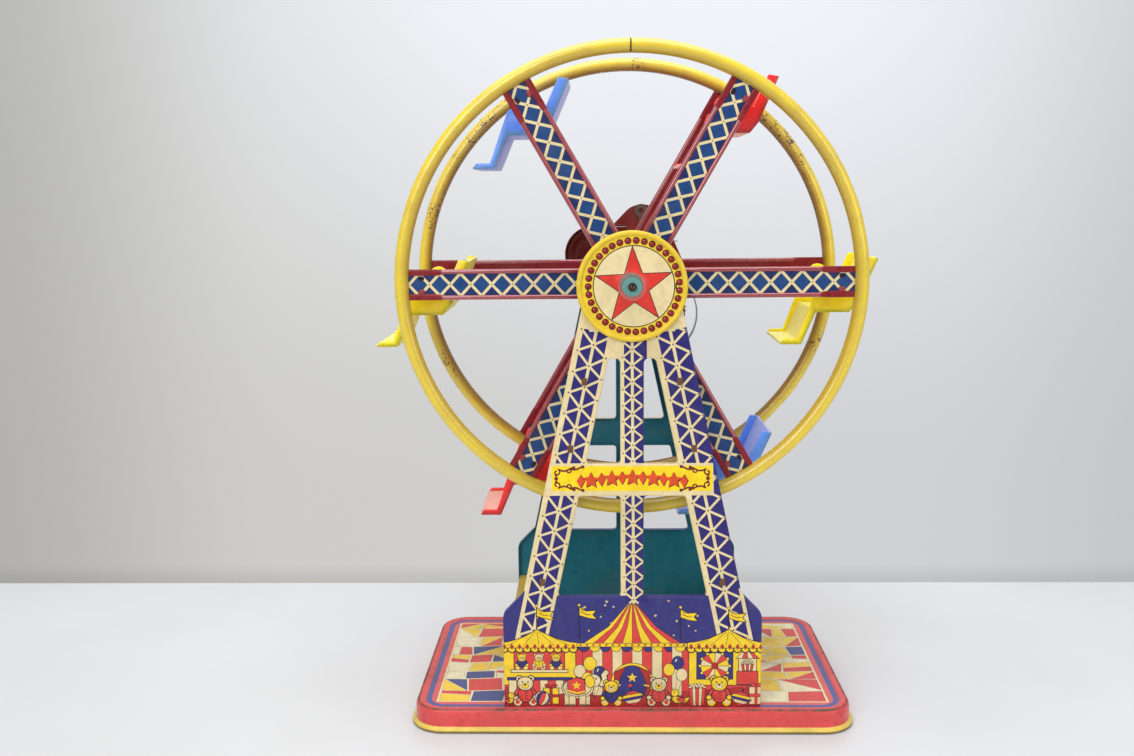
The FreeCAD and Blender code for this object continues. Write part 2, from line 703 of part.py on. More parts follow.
def offset_path(path, distance):
    """The same open path moved to its left by a distance, with mitred corners."""
    moved = []
    for index, (x, z) in enumerate(path):
        before = path[max(index - 1, 0)]
        after = path[min(index + 1, len(path) - 1)]
        first = direction(before, (x, z)) if index > 0 else direction((x, z), after)
        second = direction((x, z), after) if index < len(path) - 1 else first
        normal = (-(first[1] + second[1]), first[0] + second[0])
        length = math.hypot(*normal)
        scale = distance / (length / 2) / (length / 2) / 2
        moved.append((x + normal[0] * scale, z + normal[1] * scale))
    return moved


def direction(start, end):
    length = math.hypot(end[0] - start[0], end[1] - start[1])
    return (end[0] - start[0]) / length, (end[1] - start[1]) / length


# ---------------------------------------------------------------- gears

PRESSURE_ANGLE = math.radians(20.0)
GEAR_PLAY = 0.16


def gear_outline(module, teeth, addendum, phase):
    """Closed wire of an involute gear in the XZ plane; phase is the angle of the middle of one tooth."""
    pitch = module * teeth / 2
    base = pitch * math.cos(PRESSURE_ANGLE)
    tip = pitch + addendum * module
    root = pitch - 1.3 * module if addendum < 0.9 else pitch - 1.0 * module
    involute = math.tan(PRESSURE_ANGLE) - PRESSURE_ANGLE
    half_pitch_angle = math.pi / (2 * teeth) - GEAR_PLAY * module / (2 * pitch)

    def half_angle(radius):
        roll = math.acos(min(1.0, base / radius))
        return half_pitch_angle + involute - (math.tan(roll) - roll)

    def spot(radius, angle):
        return vector(radius * math.cos(angle), 0, radius * math.sin(angle))

    start = max(base, root + 0.01)
    radii = [start + (tip - start) * step / 4 for step in range(5)]
    edges = []
    for tooth in range(teeth):
        centre = phase + 2 * math.pi * tooth / teeth
        following = centre + 2 * math.pi / teeth
        rising = [spot(r, centre - half_angle(r)) for r in radii]
        falling = [spot(r, centre + half_angle(r)) for r in reversed(radii)]
        foot = half_angle(start)
        flank = Part.BSplineCurve()
        flank.interpolate(rising)
        edges.append(Part.LineSegment(spot(root, centre - foot), rising[0]).toShape())
        edges.append(flank.toShape())
        edges.append(Part.Arc(rising[-1], spot(tip, centre), falling[0]).toShape())
        flank = Part.BSplineCurve()
        flank.interpolate(falling)
        edges.append(flank.toShape())
        edges.append(Part.LineSegment(falling[-1], spot(root, centre + foot)).toShape())
        edges.append(Part.Arc(spot(root, centre + foot), spot(root, (centre + following) / 2),
                              spot(root, following - foot)).toShape())
    return Part.Wire(edges)


def gear_solid(module, teeth, addendum, phase, start, end):
    face = Part.Face(gear_outline(module, teeth, addendum, phase))
    solid = face.extrude(vector(0, end - start, 0))
    solid.translate(vector(0, start, 0))
    return solid


def turned(radius, start, end, x=0.0, z=0.0):
    """A plain cylinder along Y for use inside a gear's shape."""
    return Part.makeCylinder(radius, end - start, vector(x, start, z), vector(0, 1, 0))


def add_shape(name, shape, x=0.0, z=0.0):
    """A sub-part whose shape comes from Part's own functions; x and z are counted from the axle."""
    feature = doc.addObject("Part::Feature", name)
    feature.Shape = shape.removeSplitter()
    locate(feature, x=x, y=0.0, z=0.0)
    feature.setExpression("Placement.Base.z", f"dims.axle_height + {spelled(z)}")
    return keep(feature, name)


WHEEL_TOOTH = 0.62
PINION_TOOTH = 1.0


def make_train():
    """Great wheel to drive pinion, train wheel to second pinion, second wheel to fly pinion."""
    axle = size("axle_radius")
    to_great = math.atan2(size("great_z"), size("great_x"))
    to_second = math.atan2(size("second_z"), size("second_x"))
    to_fly = math.atan2(size("fly_z") - size("second_z"), size("fly_x") - size("second_x"))
    # drive pinion on the main axle, a tooth towards the great wheel
    pinion = gear_solid(1.0, 12, PINION_TOOTH, to_great, 87.8, 91.0)
    add_shape("drive_pinion", pinion.cut(turned(axle, 80.0, 100.0)))
    # great wheel, a gap towards the pinion, running free on the winding arbor
    great = gear_solid(1.0, 56, WHEEL_TOOTH, to_great + math.pi + math.pi / 56, 88.5, 90.0)
    great = great.fuse(turned(4.5, 88.0, 90.4))
    for index in range(4):
        angle = math.radians(45 + 90 * index)
        great = great.cut(turned(5.0, 88.0, 91.0, 15.5 * math.cos(angle), 15.5 * math.sin(angle)))
    great = great.cut(turned(size("arbor_radius") + size("running_gap"), 80.0, 100.0))
    add_shape("great_wheel", great, "great_x", "great_z")
    # click on the great wheel, resting just above the ratchet's teeth
    click = turned(1.2, 90.0, 92.0, 0.0, 12.5).fuse(turned(2.2, 90.6, 91.8, 0.0, 12.5))
    nose = Part.Face(Part.makePolygon([vector(-1.5, 90.6, 14.2), vector(-7.6, 90.6, 5.6), vector(-4.6, 90.6, 6.4),
                                       vector(1.5, 90.6, 11.0), vector(-1.5, 90.6, 14.2)]))
    add_shape("ratchet_click", click.fuse(nose.extrude(vector(0, 1.2, 0))), "great_x", "great_z")
    # train wheel on the main axle with three pins that trip the bell striker
    train = gear_solid(0.8, 54, WHEEL_TOOTH, to_second, 93.2, 94.4).fuse(turned(4.0, 92.4, 93.2))
    for index in range(3):
        angle = math.radians(40 + 120 * index)
        train = train.fuse(turned(0.6, 94.4, 96.2, 17.0 * math.cos(angle), 17.0 * math.sin(angle)))
        hole = math.radians(100 + 120 * index)
        train = train.cut(turned(4.0, 93.0, 95.0, 12.5 * math.cos(hole), 12.5 * math.sin(hole)))
    add_shape("train_wheel", train.cut(turned(axle, 80.0, 100.0)))
    # second arbor
    second = gear_solid(0.8, 12, PINION_TOOTH, to_second + math.pi + math.pi / 12, 92.6, 95.2)
    second = second.fuse(turned(size("second_radius"), PIVOT_FRONT, PIVOT_BACK))
    add_shape("second_arbor", second, "second_x", "second_z")
    wheel = gear_solid(0.6, 40, WHEEL_TOOTH, to_fly, 83.5, 84.7).fuse(turned(2.4, 84.7, 86.2))
    wheel = wheel.cut(turned(size("second_radius"), 80.0, 100.0))
    add_shape("second_wheel", wheel, "second_x", "second_z")
    # fly arbor and its vane
    fly = gear_solid(0.6, 10, PINION_TOOTH, to_fly + math.pi + math.pi / 10, 83.0, 85.4)
    fly = fly.fuse(turned(size("fly_radius"), PIVOT_FRONT, PIVOT_BACK))
    add_shape("fly_arbor", fly, "fly_x", "fly_z")
    blade = Part.makeBox(22.0, 5.5, 0.6, vector(-11.0, 86.5, -0.3))
    vane = blade.fuse(turned(2.2, 86.5, 92.0)).cut(turned(size("fly_radius"), 80.0, 100.0))
    add_shape("fly_vane", vane, "fly_x", "fly_z")


def make_ratchet():
    """Twelve saw teeth on the winding arbor."""
    teeth = 12
    points = []
    for index in range(teeth):
        angle = 2 * math.pi * index / teeth
        points.append(vector(7.0 * math.cos(angle), 90.7, 7.0 * math.sin(angle)))
        points.append(vector(5.4 * math.cos(angle + 0.06), 90.7, 5.4 * math.sin(angle + 0.06)))
    points.append(points[0])
    saw = Part.Face(Part.makePolygon(points)).extrude(vector(0, 1.3, 0))
    add_shape("ratchet_wheel", saw.cut(turned(size("arbor_radius"), 80.0, 100.0)), "great_x", "great_z")


# ---------------------------------------------------------------- motor frame

PILLARS = ((-28.0, -31.5), (-1.5, 32.0), (37.5, 6.5), (43.6, -11.6))
STRIKER_PIVOT = (-30.0, -24.0)
LEVER_PIVOT = (17.0, 12.0)
LEVER_EYE = (11.5, 43.3)
LEVER_FINGER = (31.0, 3.5)
LEVER_FINGER_END = (33.1, 6.9)


def frame_outline():
    """Circles whose hull is the motor plate, counter-clockwise from the lower left."""
    return [(PILLARS[0][0], PILLARS[0][1], 4.5), (size("great_x"), size("great_z"), 13.0),
            (PILLARS[3][0], PILLARS[3][1], 4.5), (PILLARS[2][0], PILLARS[2][1], 4.2),
            (13.0, 30.5, 17.0), (size("bell_x"), size("bell_z"), 4.0), (STRIKER_PIVOT[0], STRIKER_PIVOT[1], 3.0)]


def make_motor_plate(name, start, front):
    body = new_body(name)
    outline = new_sketch(body, "outline", "XZ_Plane")
    draw_capsule_hull(outline, frame_outline())
    pad(body, outline, "frame_sheet", reverse=True)
    holes = new_sketch(body, "holes", "XZ_Plane")
    gap = size("running_gap")
    bores = [((0.0, 0.0), size("axle_radius") + gap), (("great_x", "great_z"), size("arbor_radius") + gap),
             (("second_x", "second_z"), size("second_radius") + gap), (("fly_x", "fly_z"), size("fly_radius") + gap)]
    bores += [(place, 1.2) for place in PILLARS]
    if front:
        bores += [(place, 1.5) for place in RIVETS] + [(LEVER_PIVOT, 1.5)]
    else:
        bores += [(STRIKER_PIVOT, 1.2), (("bell_x", "bell_z"), 1.0)]
    for centre, radius in bores:
        draw_circle(holes, centre, radius)
    pocket(body, holes)
    if front:
        window = new_sketch(body, "window", "XZ_Plane")
        draw_capsule_hull(window, [(*LEVER_FINGER, 1.5), (*LEVER_FINGER_END, 1.5)])
        pocket(body, window)
    locate(body, y=start, z="axle_height")
    keep(body, name)


def make_motor_fixings():
    pillars = []
    for index, (x, z) in enumerate(PILLARS):
        pieces = [rod(f"pillar_{index}_post", x, z, FRAME_INSIDE, FRAME_BACK, "pillar_radius"),
                  rod(f"pillar_{index}_stud", x, z, PLATE_FRONT - 0.6, PLATE_BACK + 0.6, 1.2),
                  rod(f"pillar_{index}_front", x, z, PLATE_FRONT - 0.6, PLATE_FRONT, 2.2),
                  rod(f"pillar_{index}_back", x, z, PLATE_BACK, PLATE_BACK + 0.6, 2.2)]
        pillars.append(fuse(f"pillar_{index}", pieces))
    finish(group("motor_pillars", pillars), "motor_pillars")
    rivets = []
    inside = TOWER_Y - size("tower_sheet")
    for index, (x, z) in enumerate(RIVETS):
        pieces = [rod(f"rivet_{index}_shank", x, z, inside - 1.0, FRAME_INSIDE + 1.0, 1.5),
                  rod(f"rivet_{index}_head", x, z, inside - 1.0, inside, 3.0),
                  rod(f"rivet_{index}_spacer", x, z, TOWER_Y, PLATE_FRONT, 3.0),
                  rod(f"rivet_{index}_tail", x, z, FRAME_INSIDE, FRAME_INSIDE + 1.0, 2.6)]
        rivets.append(fuse(f"rivet_{index}", pieces))
    finish(group("motor_rivets", rivets), "motor_rivets")
    lever = fuse("lever_stud", [rod("lever_stud_pin", *LEVER_PIVOT, 74.2, FRAME_INSIDE + 0.5, 1.5),
                                rod("lever_stud_head", *LEVER_PIVOT, 74.2, 74.6, 2.6)])
    striker = fuse("striker_stud", [rod("striker_stud_pin", *STRIKER_PIVOT, 94.1, PLATE_BACK + 0.5, 1.2),
                                    rod("striker_stud_head", *STRIKER_PIVOT, 94.1, 94.7, 2.2)])
    finish(group("pivot_studs", [lever, striker]), "pivot_studs")


def make_bell():
    body = new_body("bell")
    profile = new_sketch(body, "profile", "XY_Plane")
    radius = size("bell_radius")
    mouth = 79.0
    crown = 87.2
    wall = 0.8
    draw_polygon(profile, [
        ("bell_radius", mouth), (radius - 1.2, mouth + 4.6), (radius - 5.0, crown - 1.2), (radius - 9.0, crown),
        (1.5, crown), (1.5, crown - wall), (radius - 9.2, crown - wall), (radius - 5.5, crown - 1.2 - wall),
        (radius - 1.2 - wall, mouth + 4.4), (radius - wall, mouth)])
    revolve(body, profile, "V_Axis")
    locate(body, x="bell_x", z=size("axle_height") + size("bell_z"))
    keep(body, "bell")
    post = fuse("bell_post", [
        rod("bell_post_pin", "bell_x", "bell_z", 84.6, 88.0, 1.5),
        rod("bell_post_neck", "bell_x", "bell_z", 88.0, FRAME_BACK, 1.2),
        rod("bell_post_nut", "bell_x", "bell_z", 84.9, 86.4, 3.2),
        rod("bell_post_step", "bell_x", "bell_z", 87.2, 92.4, 2.4),
        rod("bell_post_tail", "bell_x", "bell_z", FRAME_BACK, PLATE_BACK + 0.5, 1.0)])
    finish(post, "bell_post")


SPRING_TURNS = 5.25
SPRING_START = 3.6
SPRING_END = 34.0
SPRING_SAG = (3.2, -5.5)
SPRING_STRIP = 0.5
SPRING_FRONT = 79.0
SPRING_WIDTH = 8.0


def spring_spot(turn, offset):
    """A point of the run-down mainspring, turn from 0 at the arbor to 1 at the outer end."""
    angle = math.radians(45.0) - 2 * math.pi * SPRING_TURNS * (1 - turn)
    radius = SPRING_START + (SPRING_END - SPRING_START) * turn ** 1.5 + offset
    sag = turn * turn
    return vector(SPRING_SAG[0] * sag + radius * math.cos(angle), SPRING_FRONT,
                  SPRING_SAG[1] * sag + radius * math.sin(angle))


def make_mainspring():
    steps = 24 * int(SPRING_TURNS + 1)
    sides = []
    for offset in (-SPRING_STRIP / 2, SPRING_STRIP / 2):
        curve = Part.BSplineCurve()
        curve.interpolate([spring_spot(step / steps, offset) for step in range(steps + 1)])
        sides.append(curve)
    ends = [Part.LineSegment(sides[0].StartPoint, sides[1].StartPoint).toShape(),
            Part.LineSegment(sides[0].EndPoint, sides[1].EndPoint).toShape()]
    outline = Part.Wire(Part.__sortEdges__([side.toShape() for side in sides] + ends))
    strip = Part.Face(outline).extrude(vector(0, SPRING_WIDTH, 0))
    # the eye round the pillar at the outer end
    eye_x = PILLARS[3][0] - size("great_x")
    eye_z = PILLARS[3][1] - size("great_z")
    eye = turned(2.9, SPRING_FRONT, SPRING_FRONT + SPRING_WIDTH, eye_x, eye_z)
    hole = turned(size("pillar_radius"), SPRING_FRONT - 1, SPRING_FRONT + SPRING_WIDTH + 1, eye_x, eye_z)
    add_shape("mainspring", strip.fuse(eye).cut(hole), "great_x", "great_z")


def flat_hull(circles, start, end):
    """A flat plate between two Y levels whose outline is the hull of circles."""
    edges = []
    for first, second in hull_pieces(circles):
        if len(first) == 2:
            edges.append(Part.LineSegment(vector(first[0], start, first[1]),
                                          vector(second[0], start, second[1])).toShape())
        else:
            x, z, radius = first
            spots = [vector(x + radius * math.cos(a), start, z + radius * math.sin(a))
                     for a in (second[0], (second[0] + second[1]) / 2, second[1])]
            edges.append(Part.Arc(*spots).toShape())
    return Part.Face(Part.Wire(Part.__sortEdges__(edges))).extrude(vector(0, end - start, 0))


def make_levers():
    """Stop lever with a round eye, and the bell striker with its hammer and tail."""
    front, back = 74.8, 75.6
    lever = flat_hull([(*LEVER_PIVOT, 3.0), (*LEVER_EYE, 2.6)], front, back)
    lever = lever.fuse(turned(4.7, front, back, *LEVER_EYE))
    lever = lever.fuse(flat_hull([(*LEVER_PIVOT, 3.0), (*LEVER_FINGER, 1.6)], front, back))
    lever = lever.fuse(turned(0.8, front, 88.0, *LEVER_FINGER))
    lever = lever.cut(turned(1.7, 70.0, 80.0, *LEVER_EYE))
    lever = lever.cut(turned(1.56, 70.0, 80.0, *LEVER_PIVOT))
    add_shape("stop_lever", lever)
    head = (-45.5, -0.8)
    tail = (-14.2, -12.3)
    front, back = 95.0, 95.8
    striker = flat_hull([(*STRIKER_PIVOT, 2.6), (*head, 1.6)], front, back)
    striker = striker.fuse(flat_hull([(*STRIKER_PIVOT, 2.6), (*tail, 0.6)], front, back))
    striker = striker.fuse(turned(1.2, 90.0, back, *head)).fuse(turned(3.0, 80.0, 92.0, *head))
    add_shape("bell_striker", striker.cut(turned(1.26, 90.0, 97.0, *STRIKER_PIVOT)))


def make_crank():
    """Winding arbor with a square end, crank arm and a knob that turns on its pin."""
    square = 3.4
    arm_front, arm_back = 102.0, 103.6
    great = ("great_x", "great_z")
    arbor = turned(size("arbor_radius"), PIVOT_FRONT, 99.4)
    shank = Part.makeBox(square, arm_back + 0.8 - 99.4, square, vector(-square / 2, 99.4, -square / 2))
    add_shape("winding_arbor", arbor.fuse(shank), *great)
    length = size("crank_length")
    arm = flat_hull([(0.0, 0.0, 5.5), (0.0, -length, 4.0)], arm_front, arm_back)
    hole = Part.makeBox(square, 4.0, square, vector(-square / 2, arm_front - 1, -square / 2))
    pin = turned(1.5, arm_back, size("rear_reach") - 0.8, 0.0, -length)
    head = turned(2.4, size("rear_reach") - 0.8, size("rear_reach"), 0.0, -length)
    add_shape("crank_arm", arm.cut(hole).fuse(pin).fuse(head), *great)
    body = new_body("crank_knob")
    profile = new_sketch(body, "profile", "XY_Plane")
    start = arm_back + 0.4
    end = start + size("knob_length")
    radius = size("knob_radius")
    draw_polygon(profile, [
        (1.56, start), (radius - 1.3, start), (radius - 0.5, start + 3.0), ("knob_radius", end - 4.0),
        ("knob_radius", end - 2.0), (radius - 1.4, end), (1.56, end)])
    revolve(body, profile, "V_Axis")
    locate(body, x="great_x", z=size("axle_height") + size("great_z") - length)
    keep(body, "crank_knob")


# ---------------------------------------------------------------- assembly

make_base_tray()
make_side_wall("left_side_wall", -1)
make_side_wall("right_side_wall", 1)
make_tower("front_tower", rear=False)
make_tower("rear_tower", rear=True)
make_leg_channels("front_leg_channels", -1)
make_leg_channels("rear_leg_channels", 1)
make_star_disc()
make_rim("front_rim", -1)
make_rim("rear_rim", 1)
for number_of_spoke, spoke_angle in enumerate(SPOKE_ANGLES, start=1):
    make_spoke(f"front_spoke_{number_of_spoke}", -1, spoke_angle)
    make_spoke(f"rear_spoke_{number_of_spoke}", 1, spoke_angle)
    make_seat(f"seat_{number_of_spoke}", spoke_angle)
make_hub("front_hub", -1)
make_hub("rear_hub", 1)
make_wheel_axles()
make_train()
make_ratchet()
make_motor_plate("motor_front_plate", PLATE_FRONT, front=True)
make_motor_plate("motor_rear_plate", FRAME_BACK, front=False)
make_motor_fixings()
make_bell()
make_mainspring()
make_levers()
make_crank()
doc.recompute()

for obj in doc.Objects:
    assert "Invalid" not in obj.State and "Error" not in obj.State, f"{obj.Name}: {obj.State}"
for part in parts:
    assert not part.Shape.isNull() and part.Shape.isValid(), part.Label
os.makedirs("parts", exist_ok=True)
for part in parts:
    part.Shape.exportStep(f"parts/{part.Label}.step")
print(len(parts), "sub-parts written")
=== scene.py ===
"""The looks of a lithographed tin ferris wheel toy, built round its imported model.

Sizes are millimetres about the middle of the wheel (x right, y back, z up from the table);
place() turns them into metres in the frame.
"""
import math
import random
from functools import cached_property

import bmesh
import bpy
import numpy as np
from mathutils import Matrix, Vector
from mathutils.geometry import delaunay_2d_cdt


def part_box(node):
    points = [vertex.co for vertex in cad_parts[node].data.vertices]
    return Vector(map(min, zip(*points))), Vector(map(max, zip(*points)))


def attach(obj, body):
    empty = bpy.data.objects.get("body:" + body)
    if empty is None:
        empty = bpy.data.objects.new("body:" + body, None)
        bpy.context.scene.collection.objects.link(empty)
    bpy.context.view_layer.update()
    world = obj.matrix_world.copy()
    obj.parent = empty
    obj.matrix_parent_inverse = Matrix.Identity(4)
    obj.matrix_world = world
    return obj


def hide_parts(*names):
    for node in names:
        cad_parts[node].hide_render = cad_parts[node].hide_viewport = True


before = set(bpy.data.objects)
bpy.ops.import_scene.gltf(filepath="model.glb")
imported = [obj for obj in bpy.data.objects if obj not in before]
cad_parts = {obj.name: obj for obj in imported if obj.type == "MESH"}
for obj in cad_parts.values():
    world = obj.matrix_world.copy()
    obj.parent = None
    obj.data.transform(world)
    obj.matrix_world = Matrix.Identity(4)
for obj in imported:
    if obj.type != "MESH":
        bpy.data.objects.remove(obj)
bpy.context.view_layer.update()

MM = 0.001
TUBE_LOW, TUBE_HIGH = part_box("hub_tube")
MIDDLE = (TUBE_LOW + TUBE_HIGH) / 2
AXLE = MIDDLE.z / MM


def place(x, y, z):
    """A point of the toy, in metres in the frame."""
    return Vector((MIDDLE.x + x * MM, MIDDLE.y + y * MM, z * MM))


# ---------------------------------------------------------------- materials

RUST = (0.13, 0.055, 0.022)
TIN = (0.52, 0.51, 0.48)
GRIME = (0.10, 0.075, 0.045)


class Term:
    """A node's output; a sum with it adds the nodes that work it out."""

    def __init__(self, nodes, socket):
        self.nodes = nodes
        self.socket = socket

    def __add__(self, other):
        return self.nodes.math("ADD", self, other)

    def __mul__(self, other):
        return self.nodes.math("MULTIPLY", self, other)

    def __sub__(self, other):
        return self.nodes.math("SUBTRACT", self, other)

    def __rsub__(self, other):
        return self.nodes.math("SUBTRACT", other, self)


class Nodes:
    """The node tree of a material or of the world."""

    def __init__(self, owner):
        self.owner = owner
        owner.use_nodes = True
        self.tree = owner.node_tree
        self.tree.nodes.clear()

    def node(self, kind, inputs, **settings):
        """A new node: its inputs by name or number, then its own properties."""
        node = self.tree.nodes.new("ShaderNode" + kind)
        for key, value in settings.items():
            setattr(node, key, value)
        for key, value in inputs.items():
            value = getattr(value, "socket", value)
            if isinstance(value, bpy.types.NodeSocket):
                self.tree.links.new(value, node.inputs[key])
            elif node.inputs[key].type == "RGBA":
                node.inputs[key].default_value = (*value, 1.0)
            else:
                node.inputs[key].default_value = value
        return node

    def term(self, kind, inputs, output=0, **settings):
        return Term(self, self.node(kind, inputs, **settings).outputs[output])

    @cached_property
    def place(self):
        """The point's place on the object, in metres."""
        return self.term("TexCoord", {}, "Object")

    def split(self, vector):
        """A vector's x, y and z."""
        return [Term(self, socket) for socket in self.node("SeparateXYZ", {0: vector}).outputs]

    def stretched(self, scale, turn=(0.0, 0.0, 0.0)):
        """The place, scaled unevenly."""
        return self.term("Mapping", {"Vector": self.place, "Rotation": turn, "Scale": scale})

    def noise(self, size, detail=4.0, rough=0.55, warp=0.0, at=None):
        """Cloudy noise whose blots are about size millimetres across."""
        return self.term("TexNoise", {"Vector": at or self.place, "Scale": 1.0 / (size * MM),
                                      "Detail": detail, "Roughness": rough, "Distortion": warp}, "Fac")

    def math(self, operation, *terms):
        return self.term("Math", dict(enumerate(terms)), operation=operation)

    def step(self, value, low, high, bottom=0.0, top=1.0):
        """A smooth step from bottom to top while value goes from low to high."""
        return self.term("MapRange", {"Value": value, "From Min": low, "From Max": high, "To Min": bottom,
                                      "To Max": top}, interpolation_type="SMOOTHSTEP")

    def mix(self, share, first, second, kind="MIX"):
        return self.term("Mix", {0: share, 6: first, 7: second}, 2, data_type="RGBA", blend_type=kind)

    def softened(self, reach):
        """The surface's direction, rounded over sharp edges."""
        return self.term("Bevel", {"Radius": reach * MM}, samples=4)

    def edges(self, reach):
        """1 on the object's sharp edges, 0 on its flat places."""
        true = self.node("NewGeometry", {}).outputs["Normal"]
        alike = self.term("VectorMath", {0: self.softened(reach), 1: true}, "Value", operation="DOT_PRODUCT")
        return self.step(1.0 - alike, 0.02, 0.35)

    def bump(self, height, depth, strength, below=None):
        inputs = {"Height": height, "Distance": depth * MM, "Strength": strength}
        if below:
            inputs["Normal"] = below
        return self.term("Bump", inputs)

    def finish(self, shader, kind="OutputMaterial"):
        self.node(kind, {0: shader})
        return self.owner

    def shade(self, **inputs):
        """The surface's own shader; underscores in the names stand for spaces."""
        named = {key.replace("_", " "): value for key, value in inputs.items()}
        return self.finish(self.term("BsdfPrincipled", named))


def material_nodes(name):
    return Nodes(bpy.data.materials.new(name))


def tinted(rgb, share):
    return tuple(min(1.0, share * c) for c in rgb)


def paint(name, rgb, rough=0.34, dirt=0.5, chips=0.3, worn=0.5, bare=TIN, gloss=0.12, shine=0.22):
    """Printed or enamelled tin: uneven colour, grime, scratches, chips and rubbed edges."""
    n = material_nodes(name)
    cloud = n.noise(34.0, 3.0)
    blots = n.noise(6.0, 6.0, 0.6, 0.4)
    specks = n.noise(0.9, 4.0, 0.65)
    peel = n.noise(2.4, 2.0)
    scratches = n.noise(1.0, 3.0, 0.5, 0.3, n.stretched((1.4, 0.16, 0.12), (0.3, 0.7, 0.4)))
    tone = n.mix(n.step(blots, 0.3, 0.72), tinted(rgb, 0.87), tinted(rgb, 1.07))
    soil = n.step(cloud * 0.6 + blots * 0.4, 0.47, 0.68) * dirt
    soiled = n.mix(soil, tone, n.mix(0.5, tone, GRIME))
    lines = n.step(scratches, 0.70, 0.74, 0.0, 0.5 * worn)
    rubbed = n.mix(lines, soiled, n.mix(0.6, tone, bare))
    loose = specks * 0.55 + blots * 0.45 + n.edges(0.35) * (0.22 * worn)
    chip = n.step(loose, 0.72 - 0.10 * chips, 0.75 - 0.10 * chips)
    under = n.mix(n.step(specks, 0.42, 0.6), bare, RUST)
    return n.shade(
        Base_Color=n.mix(chip, rubbed, under),
        Roughness=n.step(blots, 0.3, 0.7, rough - 0.05, rough + 0.07) + soil * 0.25 + chip * 0.25,
        Metallic=chip * 0.45,
        Normal=n.bump(peel * 0.5 - chip * 0.9, 0.05, 0.6),
        Specular_IOR_Level=shine,
        Coat_Weight=gloss,
        Coat_Roughness=0.12)


def rim_paint(name, rust):
    """Yellow enamel on the rolled rims: browner towards the axle, a painted shade there mixed with rust,
    with specks and clusters of rust.
    """
    n = material_nodes(name)
    hub = tuple(place(0.0, 0.0, AXLE))
    x, _, z = n.split(n.term("VectorMath", {0: n.place, 1: hub}, operation="SUBTRACT"))
    away = n.math("SQRT", n.math("POWER", x, 2.0) + n.math("POWER", z, 2.0))
    blots = n.noise(12.0, 3.0, 0.5, 0.3)
    cloud = n.noise(45.0, 3.0)
    specks = n.noise(1.7, 3.0, 0.6)
    # 1 on the side of the tube that faces the axle, where the painted shade falls; rust clusters gather
    # there too
    inner = n.step(blots * -0.0016 + away, 0.1380, 0.1450, 1.0, 0.0)
    tone = n.mix(n.step(blots, 0.35, 0.7), (0.83, 0.625, 0.038), (0.77, 0.565, 0.042))
    # the brown of the painted shade on that side, deeper where the rim rusts
    shade = (0.40 - 0.08 * rust, 0.235 - 0.07 * rust, 0.020)
    shaded = n.mix(inner * (0.62 + 0.3 * rust), tone, shade)
    dusky = n.mix(n.step(cloud, 0.50, 0.68, 0.0, 0.30), shaded, (0.52, 0.34, 0.05))
    cluster = n.step(cloud, 0.52, 0.66) * (0.075 * rust) + inner * 0.02
    spots = specks * 0.6 + blots * 0.4 + cluster
    chip = n.step(spots, 0.755 - 0.065 * rust, 0.775 - 0.065 * rust)
    return n.shade(
        Base_Color=n.mix(chip, dusky, (0.115, 0.045, 0.018)),
        Roughness=n.step(blots, 0.3, 0.7, 0.26, 0.38) + chip * 0.3,
        Normal=n.bump(blots, 0.03, 0.5),
        Specular_IOR_Level=0.45,
        Coat_Weight=0.8,
        Coat_Roughness=0.17)


def metal(name, rgb, rough, rust, grain=(0.5, 6.0, 0.5)):
    """Bare metal: fine grain, stains, spots of rust and softened edges."""
    n = material_nodes(name)
    blots = n.noise(5.0, 6.0, 0.62, 0.5)
    specks = n.noise(0.7, 4.0, 0.65)
    lines = n.noise(1.0, 3.0, 0.6, 0.0, n.stretched(tuple(1.0 / g for g in grain)))
    stain = n.step(blots, 0.45, 0.72)
    tone = n.mix(stain, rgb, tinted(rgb, 0.55))
    bright = n.mix(n.step(lines, 0.35, 0.68, 0.0, 0.5), tone, tinted(rgb, 1.25))
    spots = n.step(specks * 0.4 + blots * 0.6, 0.66 - 0.12 * rust, 0.71 - 0.12 * rust)
    return n.shade(
        Base_Color=n.mix(spots, bright, RUST),
        Roughness=n.step(stain, 0.0, 1.0, rough, rough + 0.18) + spots * 0.3,
        Metallic=1.0 - spots * 0.8,
        Normal=n.bump(lines * 0.35 + spots * 0.5, 0.03, 0.6, n.softened(0.25)))


def plastic(name, rgb, rough=0.30, haze=0.0):
    """Thin translucent moulded plastic with flow marks, dust and fine scuffs."""
    n = material_nodes(name)
    flow = n.noise(9.0, 3.0, 0.5, 1.2)
    dust = n.noise(1.3, 5.0, 0.65)
    scuffs = n.noise(1.0, 3.0, 0.5, 0.2, n.stretched((2.0, 0.25, 0.3), (0.5, 0.2, 0.9)))
    tone = n.mix(n.step(flow, 0.3, 0.7), tinted(rgb, 0.92), tinted(rgb, 1.05))
    marks = n.step(scuffs, 0.66, 0.74, 0.0, 0.30)
    dusty = n.mix(n.step(dust, 0.5, 0.75, 0.0, 0.06 + haze), tone, (0.85, 0.84, 0.80))
    return n.shade(
        Base_Color=n.mix(marks, dusty, (0.9, 0.9, 0.88)),
        Roughness=n.step(dust, 0.35, 0.7, rough - 0.04, rough + 0.10) + marks,
        Normal=n.bump(flow * 0.6 + dust * 0.2, 0.08, 0.35),
        Subsurface_Weight=0.7,
        Subsurface_Radius=tuple(0.5 + 0.5 * c for c in rgb),
        Subsurface_Scale=0.0025,
        Specular_IOR_Level=0.5)


def stained_wood(name, rgb):
    """Turned wood, stained red and worn pale at its end."""
    n = material_nodes(name)
    rings = n.noise(1.0, 4.0, 0.6, 0.5, n.stretched((1.6, 0.12, 1.6)))
    wear = n.noise(3.0, 5.0, 0.6)
    tone = n.mix(n.step(rings, 0.35, 0.65), rgb, tinted(rgb, 0.5))
    return n.shade(
        Base_Color=n.mix(n.step(wear, 0.56, 0.64, 0.0, 0.8), tone, (0.42, 0.24, 0.12)),
        Roughness=n.step(wear, 0.3, 0.7, 0.38, 0.62),
        Normal=n.bump(rings, 0.08, 0.5),
        Coat_Weight=0.15,
        Coat_Roughness=0.2)


